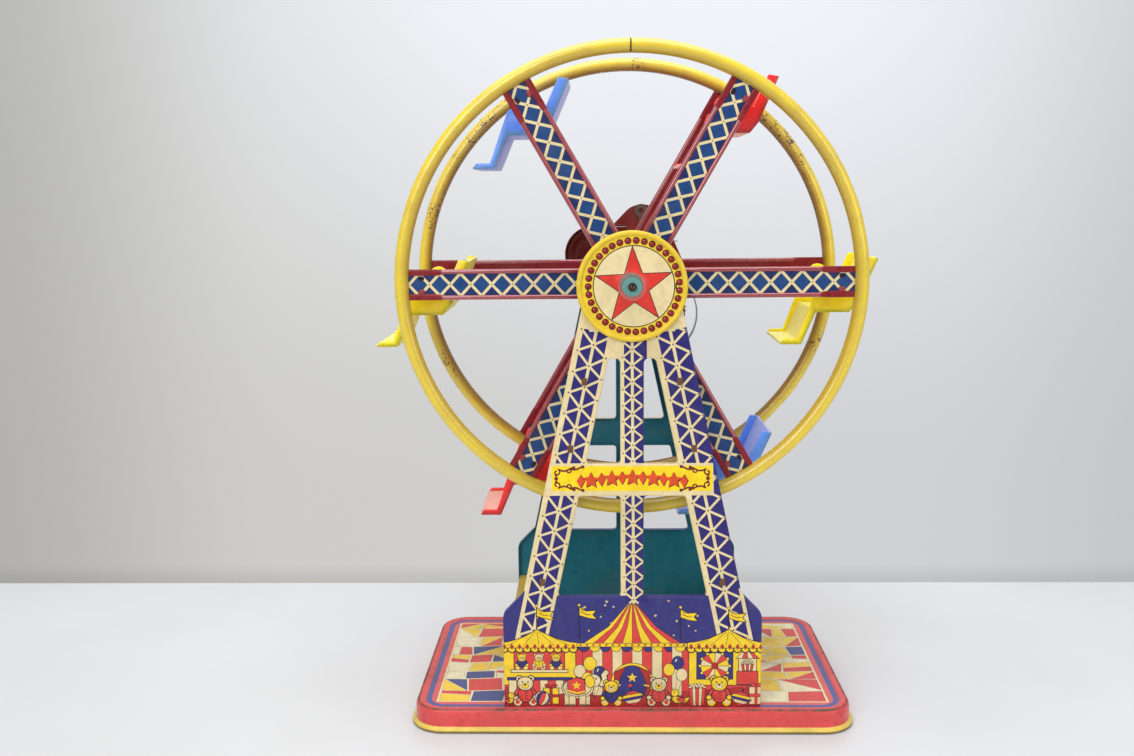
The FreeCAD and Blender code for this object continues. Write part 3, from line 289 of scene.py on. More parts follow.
# looks that several paints share; colours are linear
PRINT = dict(dirt=0.3)
CLEAN = dict(dirt=0.1, chips=0.1)
RUBBED = dict(dirt=0.8, worn=1.0, bare=(0.40, 0.33, 0.30))
HEM = dict(worn=1.0, bare=RUST)
TILE = dict(chips=0.55, worn=1.0, bare=(0.60, 0.57, 0.50))

PAINTS = {
    "cream": dict(rgb=(0.80, 0.66, 0.36), dirt=0.35),
    "navy": dict(rgb=(0.028, 0.022, 0.165), dirt=0.25),
    "brown_dot": dict(rgb=(0.085, 0.045, 0.03), dirt=0.2),
    "sky": dict(PRINT, rgb=(0.038, 0.036, 0.190)),
    "key": dict(rgb=(0.022, 0.016, 0.022), dirt=0.1, chips=0.15),
    "print_yellow": dict(PRINT, rgb=(0.90, 0.62, 0.030)),
    "print_red": dict(PRINT, rgb=(0.70, 0.060, 0.052)),
    "deep_red": dict(PRINT, rgb=(0.42, 0.030, 0.028)),
    "banner_yellow": dict(rgb=(1.0, 0.69, 0.014), dirt=0.12, chips=0.1),
    "banner_red": dict(CLEAN, rgb=(0.74, 0.082, 0.020)),
    "maroon": dict(CLEAN, rgb=(0.17, 0.016, 0.024)),
    "teal": dict(rgb=(0.016, 0.182, 0.248), rough=0.42, chips=0.2, gloss=0.1),
    "disc_yellow": dict(rgb=(0.82, 0.58, 0.040), dirt=0.3, chips=0.25),
    "worn_red": dict(RUBBED, rgb=(0.62, 0.15, 0.13), chips=0.8),
    "worn_tin": dict(RUBBED, rgb=(0.22, 0.165, 0.14), chips=1.0),
    "star_red": dict(rgb=(0.71, 0.040, 0.026), dirt=0.35, chips=0.15),
    "bulb": dict(CLEAN, rgb=(0.26, 0.018, 0.020)),
    "bulb_edge": dict(CLEAN, rgb=(0.075, 0.008, 0.008)),
    "bulb_shine": dict(CLEAN, rgb=(0.60, 0.20, 0.17)),
    "spoke_blue": dict(PRINT, rgb=(0.012, 0.060, 0.205)),
    "spoke_navy": dict(PRINT, rgb=(0.014, 0.030, 0.125)),
    "rail_red": dict(rgb=(0.330, 0.022, 0.034), rough=0.20, dirt=0.25, gloss=1.0, shine=1.0),
    "end_red": dict(rgb=(0.240, 0.014, 0.020), rough=0.30, dirt=0.35, chips=0.35),
    "tab_pink": dict(rgb=(0.31, 0.045, 0.055), rough=0.3, dirt=0.6, chips=0.5, worn=1.0),
    "seam_brown": dict(HEM, rgb=(0.13, 0.085, 0.022), dirt=0.6, chips=0.6),
    "wall_red": dict(rgb=(0.72, 0.072, 0.074), rough=0.30, dirt=0.40, chips=0.35, worn=0.7, gloss=0.5),
    "border_red": dict(rgb=(0.70, 0.085, 0.086), rough=0.32, dirt=0.85, chips=0.55, worn=1.0,
                       bare=(0.22, 0.17, 0.12)),
    "border_worn": dict(rgb=(0.50, 0.075, 0.072), rough=0.36, dirt=1.0, chips=2.3, worn=1.0,
                        bare=(0.20, 0.15, 0.11)),
    "line_red": dict(rgb=(0.70, 0.12, 0.11), dirt=0.8, chips=0.5, worn=1.0),
    "line_blue": dict(rgb=(0.095, 0.100, 0.30), dirt=0.9, chips=0.5, worn=1.0),
    # the hem's lower bands: olive rust and dirt, darkened further as painted shade on its underside and a
    # painted shadow where it meets the table
    "hem_olive": dict(HEM, rgb=(0.46, 0.34, 0.075), dirt=0.9, chips=0.8),
    "hem_dark": dict(HEM, rgb=(0.20, 0.125, 0.045), dirt=0.8, chips=0.5),
    "hem_yellow": dict(HEM, rgb=(0.80, 0.60, 0.12), dirt=0.7, chips=0.55),
    "tile_cream": dict(TILE, rgb=(0.84, 0.76, 0.52), dirt=0.9),
    "tile_yellow": dict(TILE, rgb=(0.88, 0.60, 0.040), dirt=0.7),
    "tile_red": dict(TILE, rgb=(0.66, 0.062, 0.055), dirt=0.7),
    "tile_blue": dict(TILE, rgb=(0.065, 0.080, 0.25), dirt=0.9),
    "tile_line": dict(rgb=(0.22, 0.19, 0.16)),
    "wall_yellow": dict(rgb=(0.66, 0.44, 0.070), chips=0.35, worn=0.8),
    "hub_red": dict(rgb=(0.50, 0.045, 0.040), rough=0.28, dirt=0.4),
    "washer_teal": dict(rgb=(0.135, 0.345, 0.310), rough=0.30, dirt=0.3, chips=0.35),
    "bell_red": dict(rgb=(0.155, 0.012, 0.014), rough=0.20, dirt=0.35, chips=0.25, gloss=0.7),
    "motor_red": dict(rgb=(0.30, 0.030, 0.028), rough=0.36, dirt=0.6, chips=0.45, worn=0.9),
    "bronze": dict(rgb=(0.155, 0.070, 0.032), rough=0.40, chips=0.4, worn=1.0),
}
METALS = {
    "plain_tin": dict(rgb=(0.56, 0.53, 0.45), rough=0.42, rust=0.45, grain=(3.0, 3.0, 3.0)),
    "dull_steel": dict(rgb=(0.21, 0.165, 0.135), rough=0.45, rust=0.6),
    "steel": dict(rgb=(0.50, 0.49, 0.47), rough=0.36, rust=0.5),
    "axle_steel": dict(rgb=(0.56, 0.55, 0.53), rough=0.28, rust=0.25, grain=(0.6, 0.25, 0.6)),
    "brass": dict(rgb=(0.60, 0.44, 0.18), rough=0.33, rust=0.12),
    "spring": dict(rgb=(0.17, 0.18, 0.22), rough=0.30, rust=0.35),
}
PLASTICS = {
    "yellow_clear": dict(rgb=(1.0, 0.74, 0.004)),
    # the frost variants are for the seats' middle bands: rougher matt plastic, painted paler as a painted
    # sheen and glow of light through the thin panel
    "yellow_frost": dict(rgb=(1.0, 0.85, 0.17), rough=0.42),
    "red_clear": dict(rgb=(0.90, 0.022, 0.022)),
    "red_frost": dict(rgb=(0.97, 0.45, 0.36), rough=0.42, haze=0.06),
    "blue_clear": dict(rgb=(0.15, 0.35, 1.0)),
    "blue_frost": dict(rgb=(0.40, 0.48, 1.0), rough=0.42),
}
RIM_PAINTS = {"rim_yellow": dict(rust=0.2), "rim_rusty": dict(rust=1.35)}
WOODS = {"knob_wood": dict(rgb=(0.33, 0.055, 0.03))}

INKS = {name: maker(name, **look)
        for maker, looks in ((paint, PAINTS), (metal, METALS), (plastic, PLASTICS), (rim_paint, RIM_PAINTS),
                             (stained_wood, WOODS))
        for name, look in looks.items()}


# ---------------------------------------------------------------- meshes

class Shape:
    """Points in millimetres, faces and the ink of each face; inside is the ink of a sheet's other side."""

    def __init__(self, inside=None):
        self.inside = inside
        self.points = []
        self.faces = []
        self.inks = []

    def add(self, points, faces, inks):
        start = len(self.points)
        self.points += [tuple(p) for p in points]
        self.faces += [[start + i for i in face] for face in faces]
        self.inks += [inks] * len(faces) if isinstance(inks, str) else list(inks)

    def grid(self, rows, ink, round_rows=False, caps=False):
        """Closed rows with as many points each, joined by four-sided faces. ink may be worked out by row."""
        count = len(rows[0])
        faces, inks = [], []
        for i in range(len(rows) if round_rows else len(rows) - 1):
            this, following = i * count, (i + 1) % len(rows) * count
            for j in range(count):
                across = (j + 1) % count
                faces.append([this + j, this + across, following + across, following + j])
                inks.append(ink if isinstance(ink, str) else ink(i))
        if caps:
            last = (len(rows) - 1) * count
            faces += [list(range(count))[::-1], [last + j for j in range(count)]]
            inks += [inks[0], inks[-1]]
        self.add([p for row in rows for p in row], faces, inks)

    def prism(self, outline, place_point, low, high, ink):
        """An outline drawn out between two depths."""
        self.grid([[place_point(u, v, depth) for u, v in outline] for depth in (low, high)], ink, caps=True)


def put(name, data):
    """A new object in the scene."""
    item = bpy.data.objects.new(name, data)
    bpy.context.scene.collection.objects.link(item)
    return item


def make(name, shape, body, replaces=(), sheet=0.0, bevel=0.0, sharp=35.0):
    """A piece of the toy: a solid, or a sheet that is thickened, bevelled, painted and put on its body."""
    inks = sorted(set(shape.inks))
    if sheet:
        inks.append(shape.inside)
    mesh = bpy.data.meshes.new(name)
    mesh.from_pydata([place(*p) for p in shape.points], [], shape.faces)
    for ink in inks:
        mesh.materials.append(INKS[ink])
    mesh.polygons.foreach_set("material_index", [inks.index(ink) for ink in shape.inks])
    if not sheet:
        solid = bmesh.new()
        solid.from_mesh(mesh)
        bmesh.ops.recalc_face_normals(solid, faces=solid.faces)
        solid.to_mesh(mesh)
        solid.free()
    piece = put(name, mesh)
    if sheet:
        thick = piece.modifiers.new("sheet", "SOLIDIFY")
        thick.thickness = sheet * MM
        thick.offset = -1.0
        thick.material_offset = len(inks)
        thick.material_offset_rim = len(inks)
    if bevel:
        soft = piece.modifiers.new("bevel", "BEVEL")
        soft.width = bevel * MM
        soft.segments = 2
        soft.limit_method = "ANGLE"
        soft.angle_limit = math.radians(30.0)
    if piece.modifiers:
        bpy.context.view_layer.update()
        graph = bpy.context.evaluated_depsgraph_get()
        settled = bpy.data.meshes.new_from_object(piece.evaluated_get(graph))
        piece.modifiers.clear()
        piece.data = settled
    piece.data.polygons.foreach_set("use_smooth", [True] * len(piece.data.polygons))
    piece.data.set_sharp_from_angle(angle=math.radians(sharp))
    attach(piece, body)
    if replaces:
        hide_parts(*replaces)


def box_corners(left, bottom, right, top):
    return [(left, bottom), (right, bottom), (right, top), (left, top)]


def ellipse(x, y, wide, tall, sides, tilt=0.0):
    cos, sin = math.cos(tilt), math.sin(tilt)
    points = []
    for k in range(sides):
        a = 2 * math.pi * k / sides
        across, up = wide * math.cos(a), tall * math.sin(a)
        points.append((x + across * cos - up * sin, y + across * sin + up * cos))
    return points


def circle(x, y, radius, sides=12):
    return ellipse(x, y, radius, radius, sides)


def ring(radius, y, sides=96):
    """A circle round the axle."""
    return [(x, y, z) for x, z in circle(0.0, AXLE, radius, sides)]


def crossing(p, d, q, e):
    """Where the line through p along d meets the one through q along e, and the sine between them."""
    cross = d.x * e.y - d.y * e.x
    return p + d * (((q - p).x * e.y - (q - p).y * e.x) / cross), cross


def left_of(along):
    return Vector((-along.y, along.x))


def rounded(corners, inset=0.0):
    """The outline of a counter-clockwise polygon of (x, y, radius) corners, moved inwards by inset."""
    lines = []
    for (ax, ay, _), (bx, by, _) in zip(corners, corners[1:] + corners[:1]):
        a, b = Vector((ax, ay)), Vector((bx, by))
        along = (b - a).normalized()
        lines.append((a + left_of(along) * inset, along))
    outline = []
    for i, (_, _, radius) in enumerate(corners):
        d, e = lines[i - 1][1], lines[i][1]
        corner, cross = crossing(*lines[i - 1], *lines[i])
        if not radius:
            outline.append(tuple(corner))
            continue
        radius = max(0.02, radius - inset if cross > 0 else radius + inset)
        turn = math.acos(max(-1.0, min(1.0, d.dot(e))))
        steps = max(2, math.ceil(math.degrees(turn) / (5.0 if radius > 15.0 else 13.0)))
        side = 1.0 if cross > 0 else -1.0
        normal = left_of(d) * side
        middle = corner - d * radius * math.tan(turn / 2) + normal * radius
        start = math.atan2(-normal.y, -normal.x)
        for k in range(steps + 1):
            angle = start + side * turn * k / steps
            outline.append((middle.x + radius * math.cos(angle), middle.y + radius * math.sin(angle)))
    return outline


# ---------------------------------------------------------------- artwork

class Artwork:
    """Flat shapes of ink, each printed over the ones before it."""

    def __init__(self, ground):
        self.ground = ground
        self.shapes = []

    def area(self, ink, points, edge=0.0):
        """A filled shape, with a black key line round it if edge is its width."""
        self.shapes.append((ink, [tuple(p) for p in points]))
        if edge:
            self.line("key", list(points) + [points[0]], edge)

    def line(self, ink, points, width):
        for a, b in zip(points, points[1:]):
            a, b = Vector(a), Vector(b)
            if (b - a).length < 1e-6:
                continue
            along = (b - a).normalized() * width / 2
            side = left_of(along)
            low, high = a - along * 0.6, b + along * 0.6
            self.shapes.append((ink, [tuple(p) for p in (low - side, high - side, high + side, low + side)]))

    def spot(self, ink, x, y, radius, sides=12, edge=0.0):
        if edge:
            self.area("key", circle(x, y, radius + edge, sides))
        self.area(ink, circle(x, y, radius, sides))

    def oval(self, ink, x, y, wide, tall, edge=0.0, tilt=0.0):
        """An ellipse, on a black one that stands out all round by edge."""
        if edge:
            self.area("key", ellipse(x, y, wide + edge, tall + edge, 16, tilt))
        self.area(ink, ellipse(x, y, wide, tall, 16, tilt))

    def star(self, ink, x, y, outer, inner, spin=90.0):
        points = []
        for k in range(10):
            radius = inner if k % 2 else outer
            angle = math.radians(spin + 36.0 * k)
            points.append((x + radius * math.cos(angle), y + radius * math.sin(angle)))
        self.area(ink, points)

    def box(self, ink, left, bottom, right, top, edge=0.0):
        self.area(ink, box_corners(left, bottom, right, top), edge)


def inside_of(spots, loop):
    """Which of the spots lie inside a closed outline."""
    corners = np.array(loop)
    low, high = corners.min(axis=0), corners.max(axis=0)
    near = np.flatnonzero(((spots >= low) & (spots <= high)).all(axis=1))
    x, y = spots[near, 0], spots[near, 1]
    odd = np.zeros(len(near), bool)
    for (ax, ay), (bx, by) in zip(corners, np.roll(corners, -1, axis=0)):
        if ay != by:
            odd ^= ((ay > y) != (by > y)) & (x < (bx - ax) * (y - ay) / (by - ay) + ax)
    return near[odd]


def print_sheet(art, outline, windows, rings=()):
    """The sheet's points, its triangles and the ink of each, cut so that every print edge is crisp."""
    spots, edges = [], []
    for loop in [outline, *windows, *rings, *[points for _, points in art.shapes]]:
        start, count = len(spots), len(loop)
        edges += [(start + k, start + (k + 1) % count) for k in range(count)]
        spots += [Vector(p) for p in loop]
    points, _, triangles, _, _, _ = delaunay_2d_cdt(spots, edges, [], 0, 1e-4)
    points = np.array([tuple(p) for p in points])
    corners = np.array([tuple(t) for t in triangles])
    middles = points[corners].mean(axis=1)
    ink = np.full(len(corners), -1)
    ink[inside_of(middles, outline)] = 0
    for number, (_, loop) in enumerate(art.shapes, start=1):
        inner = inside_of(middles, loop)
        ink[inner[ink[inner] >= 0]] = number
    for window in windows:
        ink[inside_of(middles, window)] = -1
    names = [art.ground] + [name for name, _ in art.shapes]
    used, renumbered = np.unique(corners[ink >= 0], return_inverse=True)
    triangles = renumbered.reshape(-1, 3).tolist()
    return points[used].tolist(), triangles, [names[number] for number in ink[ink >= 0]]


def edge_distance(points, loops, skip):
    """How far each point lies from the loops' sides, leaving out those for which skip is true."""
    spots = np.array(points)
    best = np.full(len(spots), 1e9)
    for loop in loops:
        for a, b in zip(loop, loop[1:] + loop[:1]):
            if skip(a, b):
                continue
            a, b = np.array(a), np.array(b)
            along = b - a
            share = np.clip(((spots - a) @ along) / (along @ along), 0.0, 1.0)
            best = np.minimum(best, np.hypot(*(spots - a - share[:, None] * along).T))
    return best


BEND = 0.9
BEND_STEPS = (0.12, 0.35, 0.7, 1.1)


def pressed_sheet(art, outline, windows, holes, flange, foot, surface, inside):
    """A printed sheet with its edges turned back, all but the foot. outline and windows are corner
    lists; holes stay flat."""
    def at_foot(a, b):
        return abs(a[1] - foot) < 0.01 and abs(b[1] - foot) < 0.01

    rims = [rounded(outline), *[rounded(window) for window in windows]]
    rings = [rounded(outline, step) for step in BEND_STEPS]
    rings += [rounded(window, -step) for window in windows for step in BEND_STEPS]
    points, faces, inks = print_sheet(art, rims[0], [*rims[1:], *holes], rings)
    away = edge_distance(points, rims, at_foot)
    depth = [BEND - math.sqrt(max(0.0, BEND ** 2 - max(0.0, BEND - d) ** 2)) for d in away]
    shape = Shape(inside)
    shape.add([surface(u, v, w) for (u, v), w in zip(points, depth)], faces, inks)
    sides = {}
    for face, ink in zip(faces, inks):
        for a, b in zip(face, face[1:] + face[:1]):
            if sides.pop((b, a), None) is None:
                sides[(a, b)] = ink
    rows = {}
    for (a, b), ink in sides.items():
        if away[a] >= 0.02 or away[b] >= 0.02:
            continue
        for i in (a, b):
            if i not in rows:
                rows[i] = len(shape.points)
                shape.points += [surface(*points[i], w) for w in (flange * 0.6, flange)]
        for near_a, near_b, far in ((a, b, 0), (rows[a], rows[b], 1)):
            shape.faces.append([near_b, near_a, rows[a] + far, rows[b] + far])
            shape.inks.append(ink)
    return shape


# ---------------------------------------------------------------- the print of the towers

FOOT = 14.2
TOWER_Y = 74.0
TAB_PLACES = (-60.0, 0.0, 60.0)
PANEL_X, PANEL_TOP = 82.0, 76.5
SHOULDER_X, SHOULDER_Z = 68.9, 90.0
HEAD_X, HEAD_Z = 33.5, 257.0
LEG_SLOPE = (SHOULDER_X - HEAD_X) / (HEAD_Z - SHOULDER_Z)
LEG_LEAN = math.atan(LEG_SLOPE)
HEAD_RADIUS = 27.16
HEAD_APEX = AXLE + HEAD_RADIUS / math.sin(LEG_LEAN)
TOWER_OUTLINE = [(-PANEL_X, FOOT, 0.0), (PANEL_X, FOOT, 0.0), (PANEL_X, PANEL_TOP, 8.0),
                 (SHOULDER_X, SHOULDER_Z, 6.0), (0.0, HEAD_APEX, HEAD_RADIUS),
                 (-SHOULDER_X, SHOULDER_Z, 6.0), (-PANEL_X, PANEL_TOP, 8.0)]
POST_EDGE, CORNER, SLOT_CORNER = 7.2, 2.2, 3.2
WINDOW_FOOT, WINDOW_TOP, SLOT_FOOT, SLOT_TOP = 88.0, 153.5, 174.0, 240.0
WINDOW_FOOT_X, WINDOW_TOP_X, SLOT_FOOT_X, SLOT_TOP_X = 47.2, 33.1, 28.7, 14.4
SLOT_RIGHT = [(POST_EDGE, SLOT_FOOT, CORNER), (SLOT_FOOT_X, SLOT_FOOT, CORNER),
              (SLOT_TOP_X, SLOT_TOP, SLOT_CORNER), (POST_EDGE, SLOT_TOP, SLOT_CORNER)]
WINDOW_RIGHT = [(POST_EDGE, WINDOW_FOOT, CORNER), (WINDOW_FOOT_X, WINDOW_FOOT, CORNER),
                (WINDOW_TOP_X, WINDOW_TOP, CORNER), (POST_EDGE, WINDOW_TOP, CORNER)]
FLANGE, AXLE_HOLE, TAB_HALF = 4.5, 3.0, 4.0
LEG_PITCH, POST_PITCH = 13.34, 9.97


def leg_centre(z):
    """The middle of a leg, from its outer side and the inner side through its window and slot."""
    outer = SHOULDER_X - LEG_SLOPE * (z - SHOULDER_Z)
    inner_slope = (WINDOW_FOOT_X - SLOT_TOP_X) / (SLOT_TOP - WINDOW_FOOT)
    inner = WINDOW_FOOT_X - inner_slope * (z - WINDOW_FOOT)
    return (outer + inner) / 2


def mirrored(corners):
    return [(-x, z, radius) for x, z, radius in reversed(corners)]


def clip(point, other, low, high):
    """point, moved towards other until its first coordinate lies between low and high."""
    s, t = point
    wanted = max(low, min(high, s))
    if wanted == s:
        return point
    share = (wanted - s) / (other[0] - s)
    return wanted, t + (other[1] - t) * share


def lattice(art, low, high, pitch, first, left, right, bar, rib, band, dots=0.58, lift=0.0):
    """Crossed bars on a middle rib. low and high are the rib's ends; left, right and band are distances
    across it: the joints at both edges and the dark band behind the bars."""
    low, high = Vector(low), Vector(high)
    up = (high - low).normalized()
    across = Vector((up.y, -up.x))
    length = (high - low).length

    def at(s, t):
        return tuple(low + up * s + across * t)

    art.area("navy", [at(0.0, band[0]), at(0.0, band[1]), at(length, band[1]), at(length, band[0])])
    joints = []
    s = first
    while s > 0.0:
        s -= pitch
    while s < length + pitch:
        for side, raised in ((left, lift), (right, 0.0)):
            for end in (s - pitch / 2 + raised, s + pitch / 2 + raised):
                if max(s, end) < 0.0 or min(s, end) > length:
                    continue
                inner, outer = (s, 0.0), (end, side)
                ends = [clip(inner, outer, 0.0, length), clip(outer, inner, 0.0, length)]
                art.line("cream", [at(*ends[0]), at(*ends[1])], bar)
        joints += [(s, 0.0), (s + pitch / 2 + lift, left), (s + pitch / 2, right)]
        s += pitch
    art.line("cream", [at(0.0, 0.0), at(length, 0.0)], rib)
    for s, t in joints:
        if 0.0 < s < length:
            art.spot("brown_dot", *at(s, t), dots, 7)


def scroll(art, x, z, flip_x, flip_z, size):
    """An S of two curls, printed as an ornament in a corner."""
    points = []
    for k in range(13):
        angle = math.radians(-60.0 + 27.0 * k)
        radius = 1.5 - 0.085 * k
        points.append((x + flip_x * size * (1.6 + radius * math.cos(angle)),
                       z + flip_z * size * radius * math.sin(angle)))
    art.line("maroon", points, 0.95)
    tail = [(x + flip_x * size * (1.6 + 1.5 * math.cos(math.radians(-60.0)) + 1.1 * k),
             z + flip_z * size * (-1.3 + 0.75 * math.sin(0.75 * k))) for k in range(7)]
    art.line("maroon", tail, 1.15)
    art.spot("maroon", *tail[-1], 1.1, 10)


def diamond(x, z, half, below, above):
    return [(x, z - below), (x + half, z), (x, z + above), (x - half, z)]


def banner(art):
    """The yellow board across the legs, with stars and diamonds between corner scrolls."""
    left, right, bottom, top = -49.9, 49.7, 156.9, 172.8
    middle = (bottom + top) / 2
    art.box("banner_yellow", left, bottom, right, top)
    for flip_x, edge_x in ((1, left), (-1, right)):
        for flip_z, edge_z in ((1, bottom), (-1, top)):
            scroll(art, edge_x + flip_x * 0.8, edge_z + flip_z * 3.9, flip_x, flip_z, 1.45)
            scroll(art, edge_x + flip_x * 8.6, edge_z + flip_z * 2.9, flip_x, flip_z, 1.2)
        for k in (-1, 0, 1):
            art.spot("maroon", edge_x + flip_x * 2.8, middle + 2.3 * k, 1.3 - 0.3 * abs(k), 10)
    for k in range(-5, 6):
        x = 6.4 * k
        z = middle + 1.5 * math.cos(k * 0.42) - 0.9
        if k % 2 == 0:
            art.star("maroon", x + 0.6, z - 0.55, 5.6, 2.6)
            art.star("banner_red", x, z, 5.5, 2.55)
        else:
            art.area("maroon", diamond(x + 0.55, z, 2.5, 4.85, 4.3))
            art.area("banner_red", diamond(x, z, 2.5, 4.3, 4.3))


class Toy:
    """A drawing in its own units, standing on (x, z) of the artwork, and turned round where way is -1.
    Line widths stay in millimetres."""

    def __init__(self, art, x, z, size=1.0, way=1.0):
        self.art = art
        self.x = x
        self.z = z
        self.size = size
        self.way = way

    def at(self, u, v):
        return self.x + self.way * u * self.size, self.z + v * self.size

    def area(self, ink, points, edge=0.0):
        self.art.area(ink, [self.at(*p) for p in points], edge)

    def line(self, ink, points, width):
        self.art.line(ink, [self.at(*p) for p in points], width)

    def spot(self, ink, u, v, radius, sides=8, edge=0.0):
        self.art.spot(ink, *self.at(u, v), radius * self.size, sides, edge)

    def oval(self, ink, u, v, wide, tall, edge=0.0, tilt=0.0):
        self.art.oval(ink, *self.at(u, v), wide * self.size, tall * self.size, edge, tilt)

    def box(self, ink, left, bottom, right, top, edge):
        self.art.box(ink, *self.at(left, bottom), *self.at(right, top), edge)


def pennant(art, x, z, height):
    """A swallow-tailed flag waving on a pole."""
    art.line("key", [(x, z), (x, z + height)], 0.8)
    art.spot("print_yellow", x, z + height + 0.6, 0.8, 8, 0.3)
    flag = Toy(art, x, z + height - 0.6)
    flag.area("print_yellow", [(0.0, 0.0), (4.6, -2.7), (10.8, -2.3), (8.6, -5.2), (11.2, -8.2), (5.4, -7.4),
                               (0.0, -5.6)], 0.5)
    flag.line("key", [(1.2, -3.4), (4.8, -5.2), (7.2, -5.0)], 0.4)
    flag.line("key", [(1.0, -1.6), (3.4, -3.0)], 0.35)


def awning(art, left, right, eave, peak, top):
    """A yellow canvas roof, drawn up to a peak, with a scalloped edge."""
    count = round((right - left) / 5.0)
    width = (right - left) / count
    scallops = [left + (k + 0.5) * width for k in range(count)]
    for x in scallops:
        art.oval("print_yellow", x, eave, width / 2, 2.7, 0.8)
    slope = [(j / 6, eave + 3.6 + (top - eave - 3.6) * (j / 6) ** 1.7) for j in range(7)]
    roof = [(left, eave), (right, eave)]
    roof += [(right + (peak - right) * share, z) for share, z in slope]
    roof += [(left + (peak - left) * share, z) for share, z in reversed(slope)]
    art.area("print_yellow", roof, 0.5)
    for k in range(1, count, 2):
        foot = left + k * width
        art.line("key", [(peak + (foot - peak) * 0.12, top - 1.6), (peak + (foot - peak) * 0.55, eave + 6.5),
                         (foot, eave + 1.6)], 0.28)
    for x in scallops:
        art.area("deep_red", diamond(x, eave + 0.9, 1.3, 2.1, 2.1))


def bear(art, x, z, size, fur, shirt):
    """A stuffed bear, seated."""
    toy = Toy(art, x, z, size)
    edge = 0.06 * size
    sole, snout = ("print_red", "print_yellow") if fur == "cream" else ("cream", "cream")
    for side in (-1, 1):
        toy.oval(fur, side * 0.46, 0.26, 0.26, 0.28, edge)
        toy.oval(sole, side * 0.48, 0.24, 0.13, 0.14)
        toy.oval(shirt, side * 0.47, 0.82, 0.16, 0.36, edge, side * 0.55)
        toy.oval(fur, side * 0.62, 0.55, 0.14, 0.14, edge)
    toy.oval(shirt, 0.0, 0.70, 0.42, 0.46, edge)
    toy.line("key", [(0.0, 0.95), (0.0, 0.35)], 0.3)
    for k in range(3):
        toy.spot("key", 0.12, 0.45 + 0.2 * k, 0.045, 7)
        toy.line("key", [(-0.34, 0.48 + 0.12 * k), (-0.18, 0.42 + 0.12 * k)], 0.28)
    for side in (-1, 1):
        toy.oval(fur, side * 0.36, 1.74, 0.18, 0.18, edge)
        toy.oval("deep_red", side * 0.36, 1.74, 0.09, 0.09)
    toy.oval(fur, 0.0, 1.42, 0.47, 0.42, edge)
    toy.oval(snout, 0.0, 1.28, 0.21, 0.16, 0.25)
    toy.oval("key", 0.0, 1.35, 0.085, 0.06)
    for side in (-1, 1):
        toy.spot("key", side * 0.17, 1.53, 0.055)
        for k in range(3):
            toy.line("key", [(side * 0.42, 1.28 + 0.1 * k), (side * 0.32, 1.25 + 0.1 * k)], 0.25)


def duck(art, x, z, size, way=1.0):
    """A toy duck on wheels."""
    toy = Toy(art, x, z, size, way)
    for u in (-0.45, 0.4):
        toy.spot("deep_red", way * u, 0.17, 0.17, 12, 0.4)
    toy.area("print_yellow", [(-0.95, 0.85), (-0.6, 0.3), (0.4, 0.25), (0.72, 0.55), (0.62, 0.95),
                              (0.1, 0.85), (-0.35, 0.72)], 0.5)
    toy.oval("print_yellow", 0.45, 1.22, 0.34, 0.32, 0.42)
    toy.area("print_red", [(0.74, 1.32), (1.15, 1.16), (0.76, 1.08)], 0.35)
    toy.spot("key", 0.52, 1.30, 0.06)
    toy.oval("print_red", -0.1, 0.56, 0.36, 0.17, 0.35, way * 0.2)


def puffed_box(art, x, z, wide, tall):
    """A striped box heaped with popped corn."""
    for k in range(-4, 5):
        level = z + tall + (1.2 if k % 2 else 0.2) + 1.2 * math.cos(k * 0.35)
        art.spot("cream", x + k * wide * 0.21, level, wide * 0.17, 10, 0.3)
    sides = [(wide * (0.78 * (k - 2.5) / 2.5), wide * ((k - 2.5) / 2.5)) for k in range(6)]
    for k, ((foot, brim), (next_foot, next_brim)) in enumerate(zip(sides, sides[1:])):
        art.area("cream" if k % 2 else "print_red",
                 [(x + foot, z), (x + next_foot, z), (x + next_brim, z + tall), (x + brim, z + tall)], 0.35)


def gift(art, x, z, wide, tall, ink, ribbon):
    """A tied box with a bow."""
    art.box(ink, x - wide / 2, z, x + wide / 2, z + tall, 0.5)
    art.box(ribbon, x - wide * 0.09, z, x + wide * 0.09, z + tall, 0.25)
    art.box(ribbon, x - wide / 2, z + tall * 0.42, x + wide / 2, z + tall * 0.6, 0.25)
    bow = Toy(art, x, z + tall, wide)
    for side in (-1, 1):
        bow.oval(ribbon, side * 0.2, 0.12, 0.2, 0.11, 0.35, side * 0.5)


def spinning_top(art, x, z, size, spin):
    """A humming top, banded, leaning on its point."""
    turn = Matrix.Rotation(spin, 2)

    def at(u, v):
        return tuple(Vector((x, z)) + turn @ Vector((u * size, v * size)))

    art.line("key", [at(0.0, 1.35), at(0.0, 1.9)], 1.1)
    art.spot("print_red", *at(0.0, 1.95), 0.16 * size, 10, 0.3)
    levels = ((0.0, 0.05), (0.3, 0.42), (0.62, 0.78), (0.85, 0.98), (1.12, 0.72), (1.4, 0.22))
    inks = ("print_red", "cream", "sky", "print_yellow", "print_red")
    for (low, half_low), (high, half_high), ink in zip(levels, levels[1:], inks):
        band = ((-half_low, low), (half_low, low), (half_high, high), (-half_high, high))
        art.area(ink, [at(*p) for p in band], 0.35)


